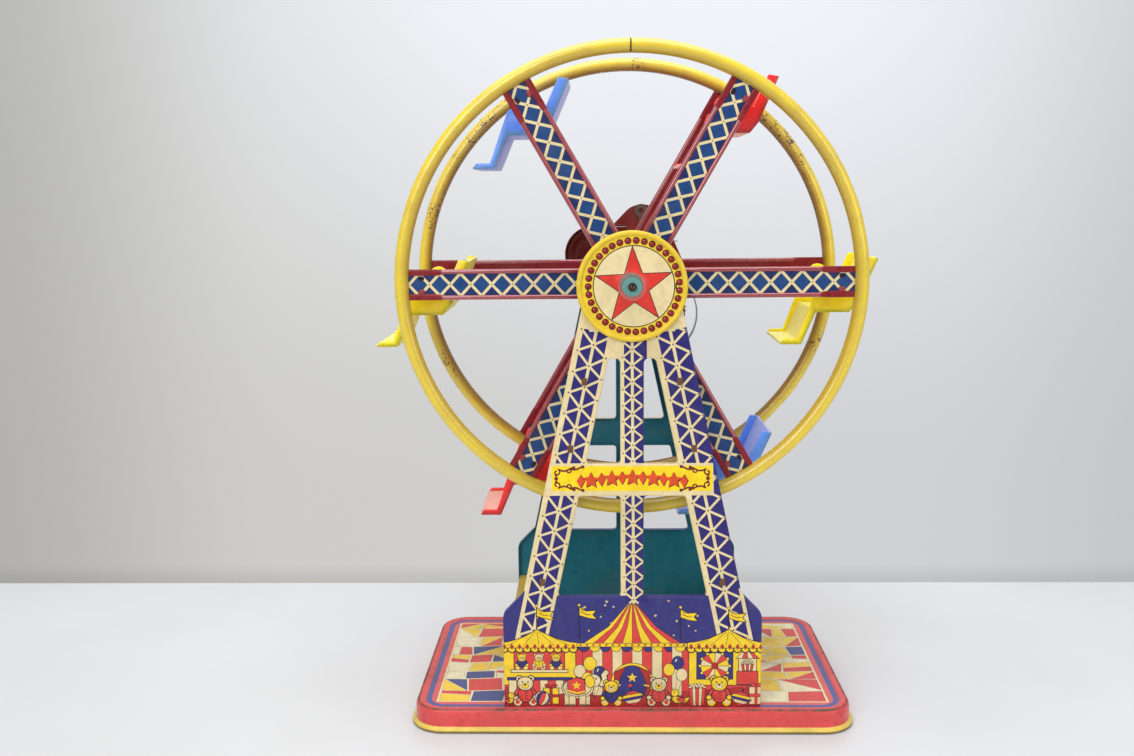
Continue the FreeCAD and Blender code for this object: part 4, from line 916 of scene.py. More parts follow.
def elephant(art, x, z, size):
    """A circus elephant in a fringed blanket, with its trunk raised."""
    toy = Toy(art, x, z, size)
    line = 0.45
    for legs, half, tall, nail, nails, body in (
            ((-0.62, 0.42), 0.17, 0.75, 0.1, 0.6, (-0.08, 0.98, 0.84, 0.56)),
            ((-0.36, 0.18), 0.18, 0.85, 0.12, 0.7, (-0.1, 1.02, 0.74, 0.48))):
        for u in legs:
            toy.box("cream", u - half, 0.0, u + half, tall, line)
            toy.line("key", [(u - nail, nails / size), (u + nail, nails / size)], 0.5)
        toy.oval("cream", *body, line)
    toy.area("print_red", [(-0.62, 1.42), (-0.1, 1.60), (0.30, 1.45), (0.34, 0.72), (-0.1, 0.60),
                           (-0.60, 0.76)], line)
    toy.line("print_yellow", [(-0.58, 0.84), (-0.1, 0.70), (0.30, 0.80)], 1.1)
    art.star("print_yellow", *toy.at(-0.14, 1.14), 0.26 * size, 0.11 * size)
    for ink, width in (("key", 0.36), ("cream", 0.24)):
        toy.line(ink, [(0.98, 1.40), (1.22, 1.22), (1.38, 1.42), (1.32, 1.72), (1.46, 1.90)], width * size)
    toy.oval("cream", 0.78, 1.42, 0.36, 0.34, line)
    toy.oval("print_yellow", 0.58, 1.36, 0.24, 0.34, line, 0.2)
    toy.spot("key", 0.92, 1.52, 0.05)
    for k in range(4):
        toy.line("key", [(-0.78 + 0.03 * k, 0.88 + 0.12 * k), (-0.66 + 0.03 * k, 0.82 + 0.12 * k)], 0.28)


def striped_ball(art, x, z, radius, inks, spin):
    """A beach ball: bowed panels between two poles, with a key line round them."""
    art.spot("key", x, z, radius + 0.35, 22)
    art.spot(inks[0], x, z, radius, 22)
    count = 5
    tilt = Matrix.Rotation(spin, 2)
    arc = [math.pi * j / 8 for j in range(9)]
    for k in range(count):
        left, right = (-math.cos(math.pi * side / count) * radius for side in (k, k + 1))
        panel = [(left * math.sin(a), -radius * math.cos(a)) for a in arc]
        panel += [(right * math.sin(a), -radius * math.cos(a)) for a in reversed(arc)]
        turned = [tuple(Vector((x, z)) + tilt @ Vector(p)) for p in panel]
        art.area(inks[k % len(inks)], turned)
        art.line("key", turned[:9], 0.22)
    art.spot("key", *(Vector((x, z)) + tilt @ Vector((0.0, radius * 0.86))), radius * 0.16, 8)


def balloon(art, x, z, radius, ink, knot):
    art.line("key", [(x, z - radius), ((x + knot[0]) / 2 + 0.8, (z - radius + knot[1]) / 2), knot], 0.25)
    art.area(ink, ellipse(x, z, radius * 0.86, radius, 16), 0.35)
    Toy(art, x, z, radius).area("cream", [(-0.42, 0.15), (-0.25, 0.62), (-0.08, 0.50), (-0.28, 0.12)])


# the lower panel: how far its print reaches, and the ground that its toys stand on
PRINT_X, PRINT_FOOT = 83.0, 13.0
GROUND = 15.0
BOOTH_FOOT, BOOTH_EAVE, BOOTH_TOP = 29.0, 54.0, 66.5


def small_stars(art):
    """Stars scattered over the sky, clear of the legs and the post."""
    generator = random.Random(7)
    for _ in range(26):
        x, z = generator.uniform(-78.0, 78.0), generator.uniform(62.0, 85.5)
        if abs(abs(x) - leg_centre(z)) > 13.0 and abs(x) > 8.0:
            ink = "cream" if generator.random() < 0.5 else "print_yellow"
            art.star(ink, x, z, generator.uniform(0.7, 1.5), 0.4, spin=generator.uniform(0, 72))


def ground(art):
    """The red ground and the darker hills in front of it."""
    art.area("print_red", [(-PRINT_X, PRINT_FOOT), (PRINT_X, PRINT_FOOT), (PRINT_X, 53.0), (34.0, 53.0),
                           (-33.0, 53.0), (-PRINT_X, 53.0)], 0.4)
    art.area("deep_red", [(-PRINT_X, PRINT_FOOT), (PRINT_X, PRINT_FOOT), (PRINT_X, 29.0), (40.0, 25.5),
                          (0.0, 24.0), (-40.0, 26.0), (-PRINT_X, 28.0)])


def toy_booth(art):
    """The left booth: bears on a shelf above a striped counter."""
    shelf = 39.4
    art.box("print_yellow", -PRINT_X, BOOTH_FOOT, -36.0, BOOTH_EAVE, 0.5)
    art.box("print_red", -75.5, shelf, -43.0, BOOTH_EAVE, 0.45)
    art.box("cream", -77.5, shelf - 2.0, -41.0, shelf, 0.45)
    for x, fur, shirt in ((-70.5, "print_yellow", "sky"), (-59.5, "cream", "print_yellow"),
                          (-48.6, "print_yellow", "sky")):
        bear(art, x, shelf, 5.6, fur, shirt)
    for k in range(8):
        art.box("print_red" if k % 2 else "cream", -79.0 + 5.0 * k, 23.0, -74.0 + 5.0 * k, 32.6, 0.35)
    art.box("sky", -80.0, 32.2, -38.0, 34.2, 0.4)
    awning(art, -84.0, -35.0, BOOTH_EAVE, -60.5, BOOTH_TOP)


def wheel_booth(art):
    """The right booth: a wheel of chance and a popcorn stand."""
    hub_x, hub_z, sectors = 52.5, 42.0, 12
    art.box("print_yellow", 36.0, BOOTH_FOOT, PRINT_X, BOOTH_EAVE, 0.5)
    art.box("sky", 41.0, 33.0, 64.0, 53.6, 0.45)
    rim = circle(hub_x, hub_z, 9.2, sectors)
    for k in range(sectors):
        art.area(("print_yellow", "print_red", "cream")[k % 3],
                 [(hub_x, hub_z), rim[k], rim[(k + 1) % sectors]], 0.32)
    for peg in circle(hub_x, hub_z, 9.4, sectors):
        art.spot("print_yellow", *peg, 0.85, 8, 0.3)
    art.spot("deep_red", hub_x, hub_z, 2.0, 12, 0.35)
    art.box("print_red", 66.5, 29.5, 80.0, 38.5, 0.45)
    art.box("cream", 67.5, 38.5, 79.0, 47.0, 0.45)
    puffed_box(art, 73.2, 38.8, 3.9, 4.4)
    for k in range(4):
        left, top_left = 66.0 + 3.7 * k, 70.4 + 1.2 * k
        art.area("print_red" if k % 2 else "cream",
                 [(left, 47.0), (left + 3.7, 47.0), (top_left + 1.2, 52.0), (top_left, 52.0)], 0.35)
    awning(art, 35.0, 84.0, BOOTH_EAVE, 61.0, BOOTH_TOP)


def big_top(art):
    """The striped tent in the middle, with an open door."""
    base, eave, peak, half_width, stripe = 22.0, 55.0, 83.5, 34.0, 6.8
    for k in range(10):
        left, right = stripe * k - half_width, stripe * (k + 1) - half_width
        roof = [(left, eave), (right, eave), (right * 0.45, eave + 13.0), (right * 0.07, peak),
                (left * 0.07, peak), (left * 0.45, eave + 13.0)]
        art.area("print_red" if k % 2 else "print_yellow", roof, 0.28)
        art.area("cream" if k % 2 else "print_red", box_corners(left * 0.93, base, right * 0.93, eave), 0.28)
        scallop = [((left + right) / 2 - stripe / 2 * math.cos(a), eave - 3.6 * math.sin(a))
                   for a in (math.pi * j / 8 for j in range(9))]
        art.area("print_yellow" if k % 2 else "sky", scallop, 0.4)
    art.box("print_yellow", -35.0, eave - 0.2, 35.0, eave + 2.2, 0.35)
    for k in range(17):
        art.spot("deep_red", -32.8 + 4.1 * k, eave + 1.0, 0.75, 8)
    for half, height, ink in ((13.6, 22.0, "print_yellow"), (11.6, 20.2, "sky")):
        door = [(-half, base), (half, base)]
        door += [(half * math.cos(a), base + height - half + half * math.sin(a))
                 for a in (math.pi * j / 14 for j in range(15))]
        art.area(ink, door, 0.4)
    for side in (-1, 1):
        curtain = Toy(art, 0.0, base, way=side)
        curtain.area("deep_red", [(11.5, 0.0), (11.5, 16.0), (4.0, 19.5), (7.6, 12.0), (9.4, 6.0),
                                  (7.8, 0.0)], 0.35)
        curtain.line("print_yellow", [(10.6, 6.4), (7.8, 7.0)], 0.9)
    art.star("print_yellow", 0.0, base + 12.0, 3.4, 1.4)


def crowd(art):
    """Flags over the tents, and balloons and toys in front of them."""
    for x, z, height in ((-60.5, BOOTH_TOP, 15.0), (-33.5, 60.0, 22.0), (30.5, 60.5, 20.0),
                         (61.0, BOOTH_TOP, 13.5)):
        pennant(art, x, z, height)
    for knot_x, x, z, radius, ink in (
            (-24.0, -27.0, 43.5, 4.8, "print_yellow"), (-24.0, -33.5, 38.5, 4.4, "cream"),
            (-24.0, -20.8, 37.5, 4.4, "sky"), (-24.0, -28.6, 33.5, 4.1, "print_yellow"),
            (26.0, 29.0, 44.0, 4.6, "sky"), (26.0, 23.4, 39.5, 4.2, "print_yellow"),
            (26.0, 31.6, 36.0, 4.3, "cream")):
        balloon(art, x, z, radius, ink, (knot_x, 20.0))
    gift(art, -52.0, GROUND + 1.0, 10.0, 11.0, "print_yellow", "deep_red")
    puffed_box(art, 41.5, GROUND, 5.4, 12.0)
    gift(art, 79.0, GROUND + 1.0, 9.0, 12.0, "cream", "print_red")
    elephant(art, -34.0, GROUND, 12.0)
    bear(art, -68.5, GROUND, 10.5, "cream", "print_red")
    bear(art, -13.4, GROUND, 9.0, "print_yellow", "sky")
    bear(art, 17.0, GROUND, 10.0, "cream", "print_red")
    bear(art, 55.5, GROUND, 10.5, "print_yellow", "print_red")
    spinning_top(art, 1.5, GROUND - 0.4, 7.4, 0.2)
    spinning_top(art, 68.0, GROUND - 0.4, 7.0, -0.25)
    duck(art, 30.5, GROUND, 7.2, -1.0)
    duck(art, -80.0, GROUND, 5.6)
    striped_ball(art, -57.6, 20.0, 4.8, ("cream", "sky", "print_red"), -0.4)


def leg_print(art, side, shift, edges, band, lift, rails):
    """A leg's lattice, and the cream rails beside it where it runs down over the sky."""
    low, high, joint = 55.0, HEAD_Z, 248.6
    ends = [(side * leg_centre(z) + shift, z) for z in (low, high)]
    first = (joint - low) / math.cos(LEG_LEAN) % LEG_PITCH
    lattice(art, *ends, LEG_PITCH, first, *edges, 1.5, 1.9, band, lift=lift)
    for offset, width in rails:
        art.line("cream", [(side * leg_centre(z) + shift + offset * math.cos(LEG_LEAN),
                            z + side * offset * math.sin(LEG_LEAN)) for z in (low, 91.0)], width)


def tower_art():
    """The towers' print: lattice legs and post, a banner, and a fairground on the lower panel."""
    art = Artwork("cream")
    art.area("sky", [(-PRINT_X, PRINT_FOOT), (PRINT_X, PRINT_FOOT), (PRINT_X, 92.0), (SHOULDER_X, 92.0),
                     (50.0, 88.9), (-50.0, 88.9), (-SHOULDER_X, 92.0), (-PRINT_X, 92.0)])
    leg_print(art, -1, 0.45, (-9.0, 9.2), (-7.9, 7.7), 1.5, ((-9.2, 2.5), (8.8, 2.2)))
    leg_print(art, 1, 0.9, (-8.6, 9.0), (-8.1, 12.0), 0.0, ((-9.4, 2.7), (9.8, 2.3)))
    post_low, post_high, joint = 84.0, 256.0, 245.7
    lattice(art, (0.95, post_low), (0.0, post_high), POST_PITCH, (joint - post_low) % POST_PITCH, -5.9, 6.2,
            1.25, 1.75, (-5.0, 9.0), dots=0.5)
    art.area("cream", [(-26.0, 256.6), (26.0, 256.6), (30.0, 320.0), (-30.0, 320.0)])
    art.area("cream", [(-62.0, 154.0), (50.6, 154.0), (50.0, 174.6), (-60.0, 174.6)])
    banner(art)
    small_stars(art)
    ground(art)
    toy_booth(art)
    wheel_booth(art)
    big_top(art)
    crowd(art)
    return art


def make_towers():
    art = tower_art()
    windows = [SLOT_RIGHT, WINDOW_RIGHT, mirrored(SLOT_RIGHT), mirrored(WINDOW_RIGHT)]
    hole = circle(0.0, AXLE, AXLE_HOLE, 24)
    for name, side in (("front_tower", -1), ("rear_tower", 1)):
        def surface(u, v, w):
            return -side * u, side * (TOWER_Y - w), v

        shape = pressed_sheet(art, TOWER_OUTLINE, windows, [hole], FLANGE, FOOT, surface, "teal")
        for x in TAB_PLACES:
            tab = box_corners(x - TAB_HALF, FOOT - 4.0, x + TAB_HALF, FOOT + 0.4)
            shape.add([surface(u, v, 0.1) for u, v in tab], [[0, 1, 2, 3]], "teal")
        make(f"litho_{name}", shape, "frame", [name], sheet=0.65)


# ---------------------------------------------------------------- star disc

BULBS = 35
FIELD, BOSS = 75.6, 77.8
BOSS_FLAT, BOSS_SLOPE = 6.6, 4.6
LIP_RADIUS, LIP_DEPTH = 24.5, 0.25
BEAD_CENTRE, BEAD = 32.0, 1.6


def disc_art():
    """A red star in a ring of bulbs, round a worn red middle."""
    art = Artwork("disc_yellow")
    shift, spin = 1.1, 92.2
    art.spot("key", shift, 0.0, 24.75, 96)
    art.spot("cream", shift, 0.0, 24.15, 96)
    art.star("key", shift, 0.0, 24.9, 9.75, spin)
    art.star("star_red", shift, 0.0, 23.3, 9.15, spin)
    for k in range(BULBS):
        angle = math.radians(87.2 - 360.0 / BULBS * k)
        x, z = shift + 27.5 * math.cos(angle), 27.5 * math.sin(angle)
        art.spot("bulb_edge", x, z, 2.15, 16)
        art.spot("bulb", x, z, 1.72, 14)
        art.spot("bulb_shine", x - 0.55, z + 0.6, 0.42, 8)
    art.spot("worn_red", 0.0, -0.2, 8.4, 40)
    art.spot("worn_tin", -0.5, 1.3, 7.2, 40)
    art.spot("worn_red", 0.3, -1.2, 6.4, 40)
    for x, z in ((-26.7, -1.2), (26.4, 0.2)):
        art.box("key", x - 0.45, z - 1.9, x + 0.45, z + 1.7)
    return art


def disc_depth(radius):
    """How far in front of the wheel's middle the disc lies: raised at its boss, with a low lip."""
    lip = LIP_DEPTH * max(0.0, 1.0 - abs(radius - LIP_RADIUS))
    rise = 1.0 - min(1.0, max(0.0, (radius - BOSS_FLAT) / BOSS_SLOPE))
    return FIELD - lip + (BOSS - FIELD) * rise ** 1.4


def make_star_disc():
    """The dished disc with its star, ring of bulbs and rolled yellow rim."""
    rings = [circle(0.0, 0.0, radius, 72) for radius in (4.0, 6.0, 6.8, 7.6, 8.6, 9.8, 11.2, 23.5, 25.5)]
    outline, hole = circle(0.0, 0.0, 30.8, 96), circle(0.0, 0.0, 2.35, 24)
    points, faces, inks = print_sheet(disc_art(), outline, [hole], rings)
    shape = Shape("plain_tin")
    shape.add([(x, -disc_depth(math.hypot(x, z)), AXLE + z) for x, z in points], faces, inks)
    make("litho_star_disc", shape, "frame", ["front_star_disc"], sheet=0.6)
    rows = []
    for k in range(21):
        angle = math.radians(-110.0 + 318.0 * k / 20)
        rows.append(ring(BEAD_CENTRE + BEAD * math.cos(angle),
                         -TOWER_Y - BEAD - BEAD * math.sin(angle) * 0.98))
    edge = Shape("plain_tin")
    edge.grid(rows, "disc_yellow")
    make("star_disc_rolled_rim", edge, "frame", sheet=0.35)


def make_axle_end():
    """The end of the axle in the washer: black discs that paint the shade in its socket, and the two lobes
    it is split into.
    """
    front = (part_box("main_axle")[0].y - MIDDLE.y) / MM
    lean = Matrix.Rotation(math.radians(-20.0), 2)
    end = Shape()
    # black discs: painted shade in the socket round the split lobes
    for radius, low, high in ((2.1, front - 0.12, front + 0.6), (2.6, front + 0.15, front + 0.7)):
        end.grid([ring(radius, y, 28) for y in (low, high)], "key", caps=True)
    for side in (-1, 1):
        rows = []
        for y, grow in ((front - 0.1, 1.0), (front - 0.7, 0.95), (front - 1.0, 0.6)):
            lobe = [lean @ Vector(p) for p in ellipse(side * 0.85, 0.0, 0.5 * grow, 1.25 * grow, 16)]
            rows.append([(p.x, y, AXLE + p.y) for p in lobe])
        end.grid(rows, "bronze", caps=True)
    make("split_axle_end", end, "wheel")


# ---------------------------------------------------------------- wheel

SPOKE_ANGLES = (0, 60, 120, 180, 240, 300)
SEAT_PIVOT = 131.0
RIM_RADIUS, RIM_TUBE, WHEEL_Y = 143.5, 4.5, 50.0
SPOKE_PITCH, SPOKE_HALF = 13.05, 7.0


def wheel_place(side, angle):
    """A spoke's own place: u along it, v across it, w from its printed face towards the wheel's inside."""
    cos, sin = math.cos(math.radians(angle)), math.sin(math.radians(angle))

    def surface(u, v, w):
        v = v if side < 0 else -v
        return u * cos - v * sin, side * (WHEEL_Y - w), AXLE + u * sin + v * cos
    return surface


def tab_side(angle):
    """Which side of a spoke its slot is on: the spoke that points left has it on the other side."""
    return 1 if math.cos(math.radians(angle)) > -0.6 else -1


def spoke_art():
    """Crossed cream bars with brown dots, over blue diamonds."""
    art = Artwork("spoke_navy")
    first = 21.6
    crossings = [first + SPOKE_PITCH * k for k in range(10)]
    half = SPOKE_PITCH / 2
    for u in crossings:
        middle = u + half
        art.area("spoke_blue", [(u, 0.0), (middle, -SPOKE_HALF), (u + 2 * half, 0.0), (middle, SPOKE_HALF)])
    for u in crossings:
        for side in (-1, 1):
            for way in (-1, 1):
                art.line("cream", [(u, 0.0), (u + way * half, side * SPOKE_HALF)], 1.75)
    for u in crossings:
        art.spot("brown_dot", u, 0.0, 0.42, 8)
    return art


# along a rail: distance out, half width across, half depth, and its middle across and in depth
RAIL_SECTIONS = ((27.0, 0.5, 0.5, 8.05, 0.0), (27.4, 1.1, 1.1, 8.05, 0.0), (28.2, 1.5, 1.5, 8.05, 0.0),
                 (60.0, 1.5, 1.5, 8.05, 0.0), (90.0, 1.5, 1.48, 8.05, 0.0), (116.0, 1.5, 1.5, 8.05, 0.0),
                 (118.0, 1.6, 1.35, 7.95, -0.05), (120.5, 1.9, 0.9, 7.75, -0.25),
                 (122.5, 2.0, 0.68, 7.70, -0.36), (SEAT_PIVOT, 2.0, 0.66, 7.70, -0.36),
                 (138.6, 2.0, 0.66, 7.70, -0.36))


def strip_depth(v):
    """A spoke's strip lies a little out from its face, further along the beads at its edges."""
    return -0.35 - 0.12 * math.exp(-((abs(v) - 6.9) / 0.5) ** 2)


def folded_edges(surface, turn):
    """A spoke's rolled edges, flattened towards the rim, with the pivot's boss and the tab beside it."""
    rails = Shape()
    for edge in (-1, 1):
        rows = []
        for u, half_v, half_w, middle_v, middle_w in RAIL_SECTIONS:
            power = 1.0 if half_w > 1.2 else 0.55
            row = []
            for c, s in circle(0.0, 0.0, 1.0, 18):
                row.append(surface(u, edge * (middle_v + half_v * math.copysign(abs(c) ** power, c)),
                                   middle_w + half_w * math.copysign(abs(s) ** power, s)))
            rows.append(row)
        rails.grid(rows, lambda i: "rail_red" if i < 6 else "end_red", caps=True)
    for boss in (((2.6, 0.3), (2.6, 3.0)), ((2.6, 3.0), (2.1, 3.35))):
        rails.grid([[surface(u, v, w) for u, v in circle(SEAT_PIVOT, 0.0, radius, 24)]
                    for radius, w in boss], "end_red", caps=True)
    tab = []
    for w, grow in ((-0.3, 0.0), (-0.75, -0.15), (-1.15, -0.5), (-1.25, -1.0)):
        tab.append([surface(u, v, w)
                    for u, v in ellipse(SEAT_PIVOT, -turn * 4.5, 2.4 + grow, 1.8 + grow * 0.8, 18)])
    rails.grid(tab, lambda i: "key" if i == 0 else "tab_pink", caps=True)
    # a black block behind the hole that the tab leaves: painted shadow in the hole
    rails.prism(ellipse(SEAT_PIVOT, turn * 3.9, 2.3, 1.9, 20), surface, 0.45, 0.95, "key")
    return rails


def make_spokes():
    art = spoke_art()
    outline = box_corners(17.0, -7.2, 139.9, 7.2)
    for side, end in ((-1, "front"), (1, "rear")):
        for index, angle in enumerate(SPOKE_ANGLES, start=1):
            turn = tab_side(angle)
            surface = wheel_place(side, angle)
            slot = ellipse(SEAT_PIVOT, turn * 3.9, 1.9, 1.5, 20)
            points, faces, inks = print_sheet(art, outline, [slot])
            strip = Shape("end_red")
            strip.add([surface(u, v, strip_depth(v)) for u, v in points], faces, inks)
            name = f"{end}_spoke_{index}"
            make(f"litho_{name}", strip, "wheel", [name], sheet=0.7)
            make(f"{name}_folded_edges", folded_edges(surface, turn), "wheel", sharp=40.0)


def make_rim(side, name):
    """A rolled tube with slight dents, an open seam towards the hub and a butt joint."""
    generator = random.Random(11 if side < 0 else 12)
    waves = [(generator.randint(2, 9), generator.uniform(0, 6.28), generator.uniform(0.02, 0.07))
             for _ in range(6)]
    dents = [(generator.uniform(0, 360), generator.uniform(1.0, 2.4), generator.uniform(0.10, 0.28))
             for _ in range(14)]
    joint = 90.0 if side < 0 else 97.0
    steps = sorted({k * 1.5 for k in range(240)} | {joint + near for near in (-0.22, -0.12, 0.12, 0.22)})
    # the tube's section: degrees from outwards, and the share of its radius, curled in at the seam
    lip = [(7.0, 0.72), (6.6, 0.9), (9.0, 1.0)]
    section = [(180.0 + away, share) for away, share in lip]
    section += [(195.0 + 330.0 * k / 26, 1.0) for k in range(27)]
    section += [(540.0 - away, share) for away, share in reversed(lip)]
    rows = []
    for angle in steps:
        turn = math.radians(angle)
        ripple = sum(size * math.sin(count * turn + start) for count, start, size in waves)
        press = sum(deep * math.exp(-(((angle - where + 180.0) % 360.0 - 180.0) / wide) ** 2)
                    for where, wide, deep in dents)
        gap = 0.93 if abs(angle - joint) < 0.15 else 1.0
        row = []
        for degrees, share in section:
            a = math.radians(degrees)
            tube = RIM_TUBE * share * gap - press * max(0.0, math.cos(a - 5.5))
            radius = RIM_RADIUS + ripple * 0.6 + tube * math.cos(a)
            row.append((radius * math.cos(turn), side * WHEEL_Y + tube * math.sin(a),
                        AXLE + radius * math.sin(turn)))
        rows.append(row)
    shape = Shape()
    enamel, seam = ("rim_yellow", "seam_brown") if side < 0 else ("rim_rusty", "rim_rusty")
    shape.grid(rows, lambda i: seam if abs(steps[i] - joint + 0.05) < 0.2 else enamel, round_rows=True)
    make(f"rolled_{name}", shape, "wheel", [name], sharp=50.0)


# ---------------------------------------------------------------- base tray

PANEL_HALF = (134.0, 74.0)
PANEL_CORNER = 13.0
MOSAIC_HALF = (126.4, 66.4)
TRAY_SLOT_Y, TRAY_SLOT_HALF = 73.65, (4.3, 0.65)
HEM_PITCH = 9.0
TILES = ["tile_yellow", "tile_red", "tile_blue", "tile_cream", "tile_yellow", "tile_red"]

# the tray's section, from the panel's edge over the border, down the wall, round the hem and back up
# inside: an ink, and the distance out and the height of each of its points
TRAY_SECTION = (
    ("line_blue", ((0.0, 14.22),)),
    ("border_red", ((0.5, 14.24), (0.9, 14.42), (1.3, 14.72), (1.9, 14.90), (2.8, 14.92), (3.6, 14.80))),
    ("border_worn", ((4.3, 14.94), (4.9, 14.98), (5.5, 14.74))),
    ("border_red", ((6.1, 14.16),)),
    ("wall_red", ((6.55, 13.35), (6.85, 12.4), (7.0, 11.0), (7.0, 7.5), (7.02, 4.6))),
    ("hem_yellow", ((7.15, 3.75), (7.6, 3.30), (8.4, 3.15), (9.05, 2.75))),
    # the hem's lower bands: rust and dirt, darkened further as painted shade underneath and a painted shadow
    # at the table
    ("hem_olive", ((9.4, 2.0),)),
    ("hem_dark", ((9.45, 1.2), (9.15, 0.45), (8.5, 0.03))),
    ("plain_tin", ((7.7, 0.03), (7.1, 0.5), (6.6, 1.6), (6.2, 4.0), (6.2, 11.8), (5.8, 12.9), (4.9, 13.4),
                   (0.0, 13.42))),
)


def tray_line(offset):
    """A closed line round the tray, offset from the edge of its panel."""
    half_x, half_y = PANEL_HALF[0] + offset, PANEL_HALF[1] + offset
    radius = PANEL_CORNER + offset
    points = []
    for sign_x, sign_y, start in ((1, -1, -90), (1, 1, 0), (-1, 1, 90), (-1, -1, 180)):
        for k in range(11):
            a = math.radians(start + 90.0 * k / 10)
            points.append((sign_x * (half_x - radius) + radius * math.cos(a),
                           sign_y * (half_y - radius) + radius * math.sin(a)))
    return points


def split_block(x, z, wide, tall, a, b, kind):
    """The tiles of one block: whole, or cut in two from corner to corner, across or upright."""
    foot_left, foot_right, top_right, top_left = box_corners(x, z, x + wide, z + tall)
    if kind < 0.42:
        return [[foot_left, foot_right, top_right, top_left]]
    if kind < 0.60:
        return [[foot_left, foot_right, top_right], [foot_left, top_right, top_left]]
    if kind < 0.74:
        right, left = (x + wide, z + tall * a), (x, z + tall * b)
        return [[foot_left, foot_right, right, left], [left, right, top_right, top_left]]
    if kind < 0.86:
        foot, top = (x + wide * a, z), (x + wide * b, z + tall)
        return [[foot_left, foot, top, top_left], [foot, foot_right, top_right, top]]
    return [[foot_left, foot_right, top_left], [foot_right, top_right, top_left]]


def drawn_in(tile, distance):
    """A tile with its corners moved towards its middle."""
    corners = [Vector(p) for p in tile]
    middle = sum(corners, Vector((0.0, 0.0))) / len(corners)
    return [corner + (middle - corner).normalized() * distance for corner in corners]


def mosaic(art, generator, half_x, half_z):
    """A patchwork of tiles: rows of uneven blocks, some split on the slant, with cream grout."""
    def bent(point):
        """The point moved by slow waves that fade out at the panel's edge."""
        px, pz = point
        share = max(0.0, min(1.0, min(half_x - abs(px), half_z - abs(pz)) / 10.0))
        return (px + share * (1.3 * math.sin(pz / 9.0 + 1.0) + 0.8 * math.sin(px / 13.0)),
                pz + share * (1.2 * math.sin(px / 12.0 + 2.0) + 0.7 * math.sin(pz / 7.0)))

    def length(longest, room):
        """A block's width or height, which takes all the room where little would be left."""
        size = min(generator.uniform(12.0, longest), room)
        return room if room - size < 9.0 else size

    z = -half_z
    last = None
    while z < half_z - 3.0:
        tall = length(19.0, half_z - z)
        x = -half_x
        while x < half_x - 2.0:
            wide = length(24.0, half_x - x)
            a, b, kind = generator.uniform(0.25, 0.75), generator.uniform(0.25, 0.75), generator.random()
            for tile in split_block(x, z, wide, tall, a, b, kind):
                last = generator.choice([ink for ink in TILES if ink != last])
                tile = [bent(p) for p in tile]
                art.area("tile_line", drawn_in(tile, 0.75))
                art.area(last, drawn_in(tile, 1.05))
            x += wide
        z += tall


def make_tray_panel():
    """The tray's printed panel, with the slots that the towers' tabs go through."""
    half_x, half_y = MOSAIC_HALF
    art = Artwork("line_blue")
    art.area("line_red", tray_line(-3.2))
    for ink, wide in (("cream", 0.7), ("tile_cream", 0.0)):
        art.box(ink, -half_x - wide, -half_y - wide, half_x + wide, half_y + wide)
    mosaic(art, random.Random(5), half_x, half_y)
    wide, deep = TRAY_SLOT_HALF
    slots = [box_corners(x - wide, y - deep, x + wide, y + deep)
             for y in (-TRAY_SLOT_Y, TRAY_SLOT_Y) for x in TAB_PLACES]
    points, faces, inks = print_sheet(art, tray_line(0.6), slots)
    shape = Shape("plain_tin")
    shape.add([(x, y, FOOT) for x, y in points], faces, inks)
    make("litho_tray_panel", shape, "frame", ["base_tray"], sheet=0.8)


def make_tray_rim():
    """The tray's raised border, its slightly dented wall and the rolled hem it stands on."""
    generator = random.Random(3)
    phase_x, phase_y = generator.uniform(0.0, 6.28), generator.uniform(0.0, 6.28)

    def dented(x, y):
        push = 0.16 * math.sin(0.031 * x + phase_x) * math.sin(0.05 * y + phase_y)
        return x * (1 - push * 0.004), y * (1 - push * 0.006)

    rows, inks = [], []
    for ink, points in TRAY_SECTION:
        for offset, z in points:
            corners = tray_line(offset)
            row = []
            for a, b in zip(corners, corners[1:] + corners[:1]):
                count = max(1, round(math.dist(a, b) / HEM_PITCH))
                row += [tuple(p + (q - p) * k / count for p, q in zip(a, b)) for k in range(count)]
            if 4.0 < z < 13.0:
                row = [dented(x, y) for x, y in row]
            rows.append([(x, y, z) for x, y in row])
            inks.append(ink)
    rim = Shape()
    rim.grid(rows, lambda i: inks[i], round_rows=True)
    make("litho_tray_rim", rim, "frame", sharp=50.0)


# ---------------------------------------------------------------- motor

def make_motor_tabs():
    """The tabs bent forward from the top of the motor's front plate, over the head of the tower."""
    plate = (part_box("motor_front_plate")[0].y - MIDDLE.y) / MM
    tabs = Shape()
    # above the axle, across, how far forward, and the ink
    for low, high, left, right, reach, ink in ((31.2, 32.0, -9.9, 1.4, 1.6, "steel"),
                                               (32.5, 33.5, -9.4, 1.0, 1.2, "motor_red")):
        front, back = plate - reach, plate + 0.2
        corners = rounded([(left, front, 0.8), (right, front, 0.8), (right, back, 0.0), (left, back, 0.0)])
        tabs.prism(corners, lambda u, v, depth: (u, v, AXLE + depth), low, high, ink)
    make("motor_top_tabs", tabs, "frame", bevel=0.15)


# ---------------------------------------------------------------- seats

SEAT_COLOURS = ("yellow", "red", "blue", "yellow", "red", "blue")
SEAT_HALF, SEAT_WALL, EAR = 29.0, 1.8, 6.6
# from the pivot: the seat's tip, heel, knee, base, hip and top, and then the inner line of its sides
SPINE = [(-33.9, -42.0), (-20.3, -42.0), (-11.4, -21.3), (10.1, -21.3), (15.6, -14.5), (27.6, 13.0)]
SIDE_INNER = [(20.9, 14.2), (12.1, -5.4), (5.0, -2.5), (-5.0, -2.5), (-11.3, -6.4), (-23.0, -38.4),
              (-31.9, -38.4)]


def offset_path(points, distance):
    """The path moved to its left."""
    lines = []
    for a, b in zip(points, points[1:]):
        a, b = Vector(a), Vector(b)
        along = (b - a).normalized()
        lines.append((a + left_of(along) * distance, along))
    moved = [lines[0][0]]
    moved += [crossing(*line, *following)[0] for line, following in zip(lines, lines[1:])]
    moved.append(Vector(points[-1]) + left_of(lines[-1][1]) * distance)
    return [tuple(p) for p in moved]


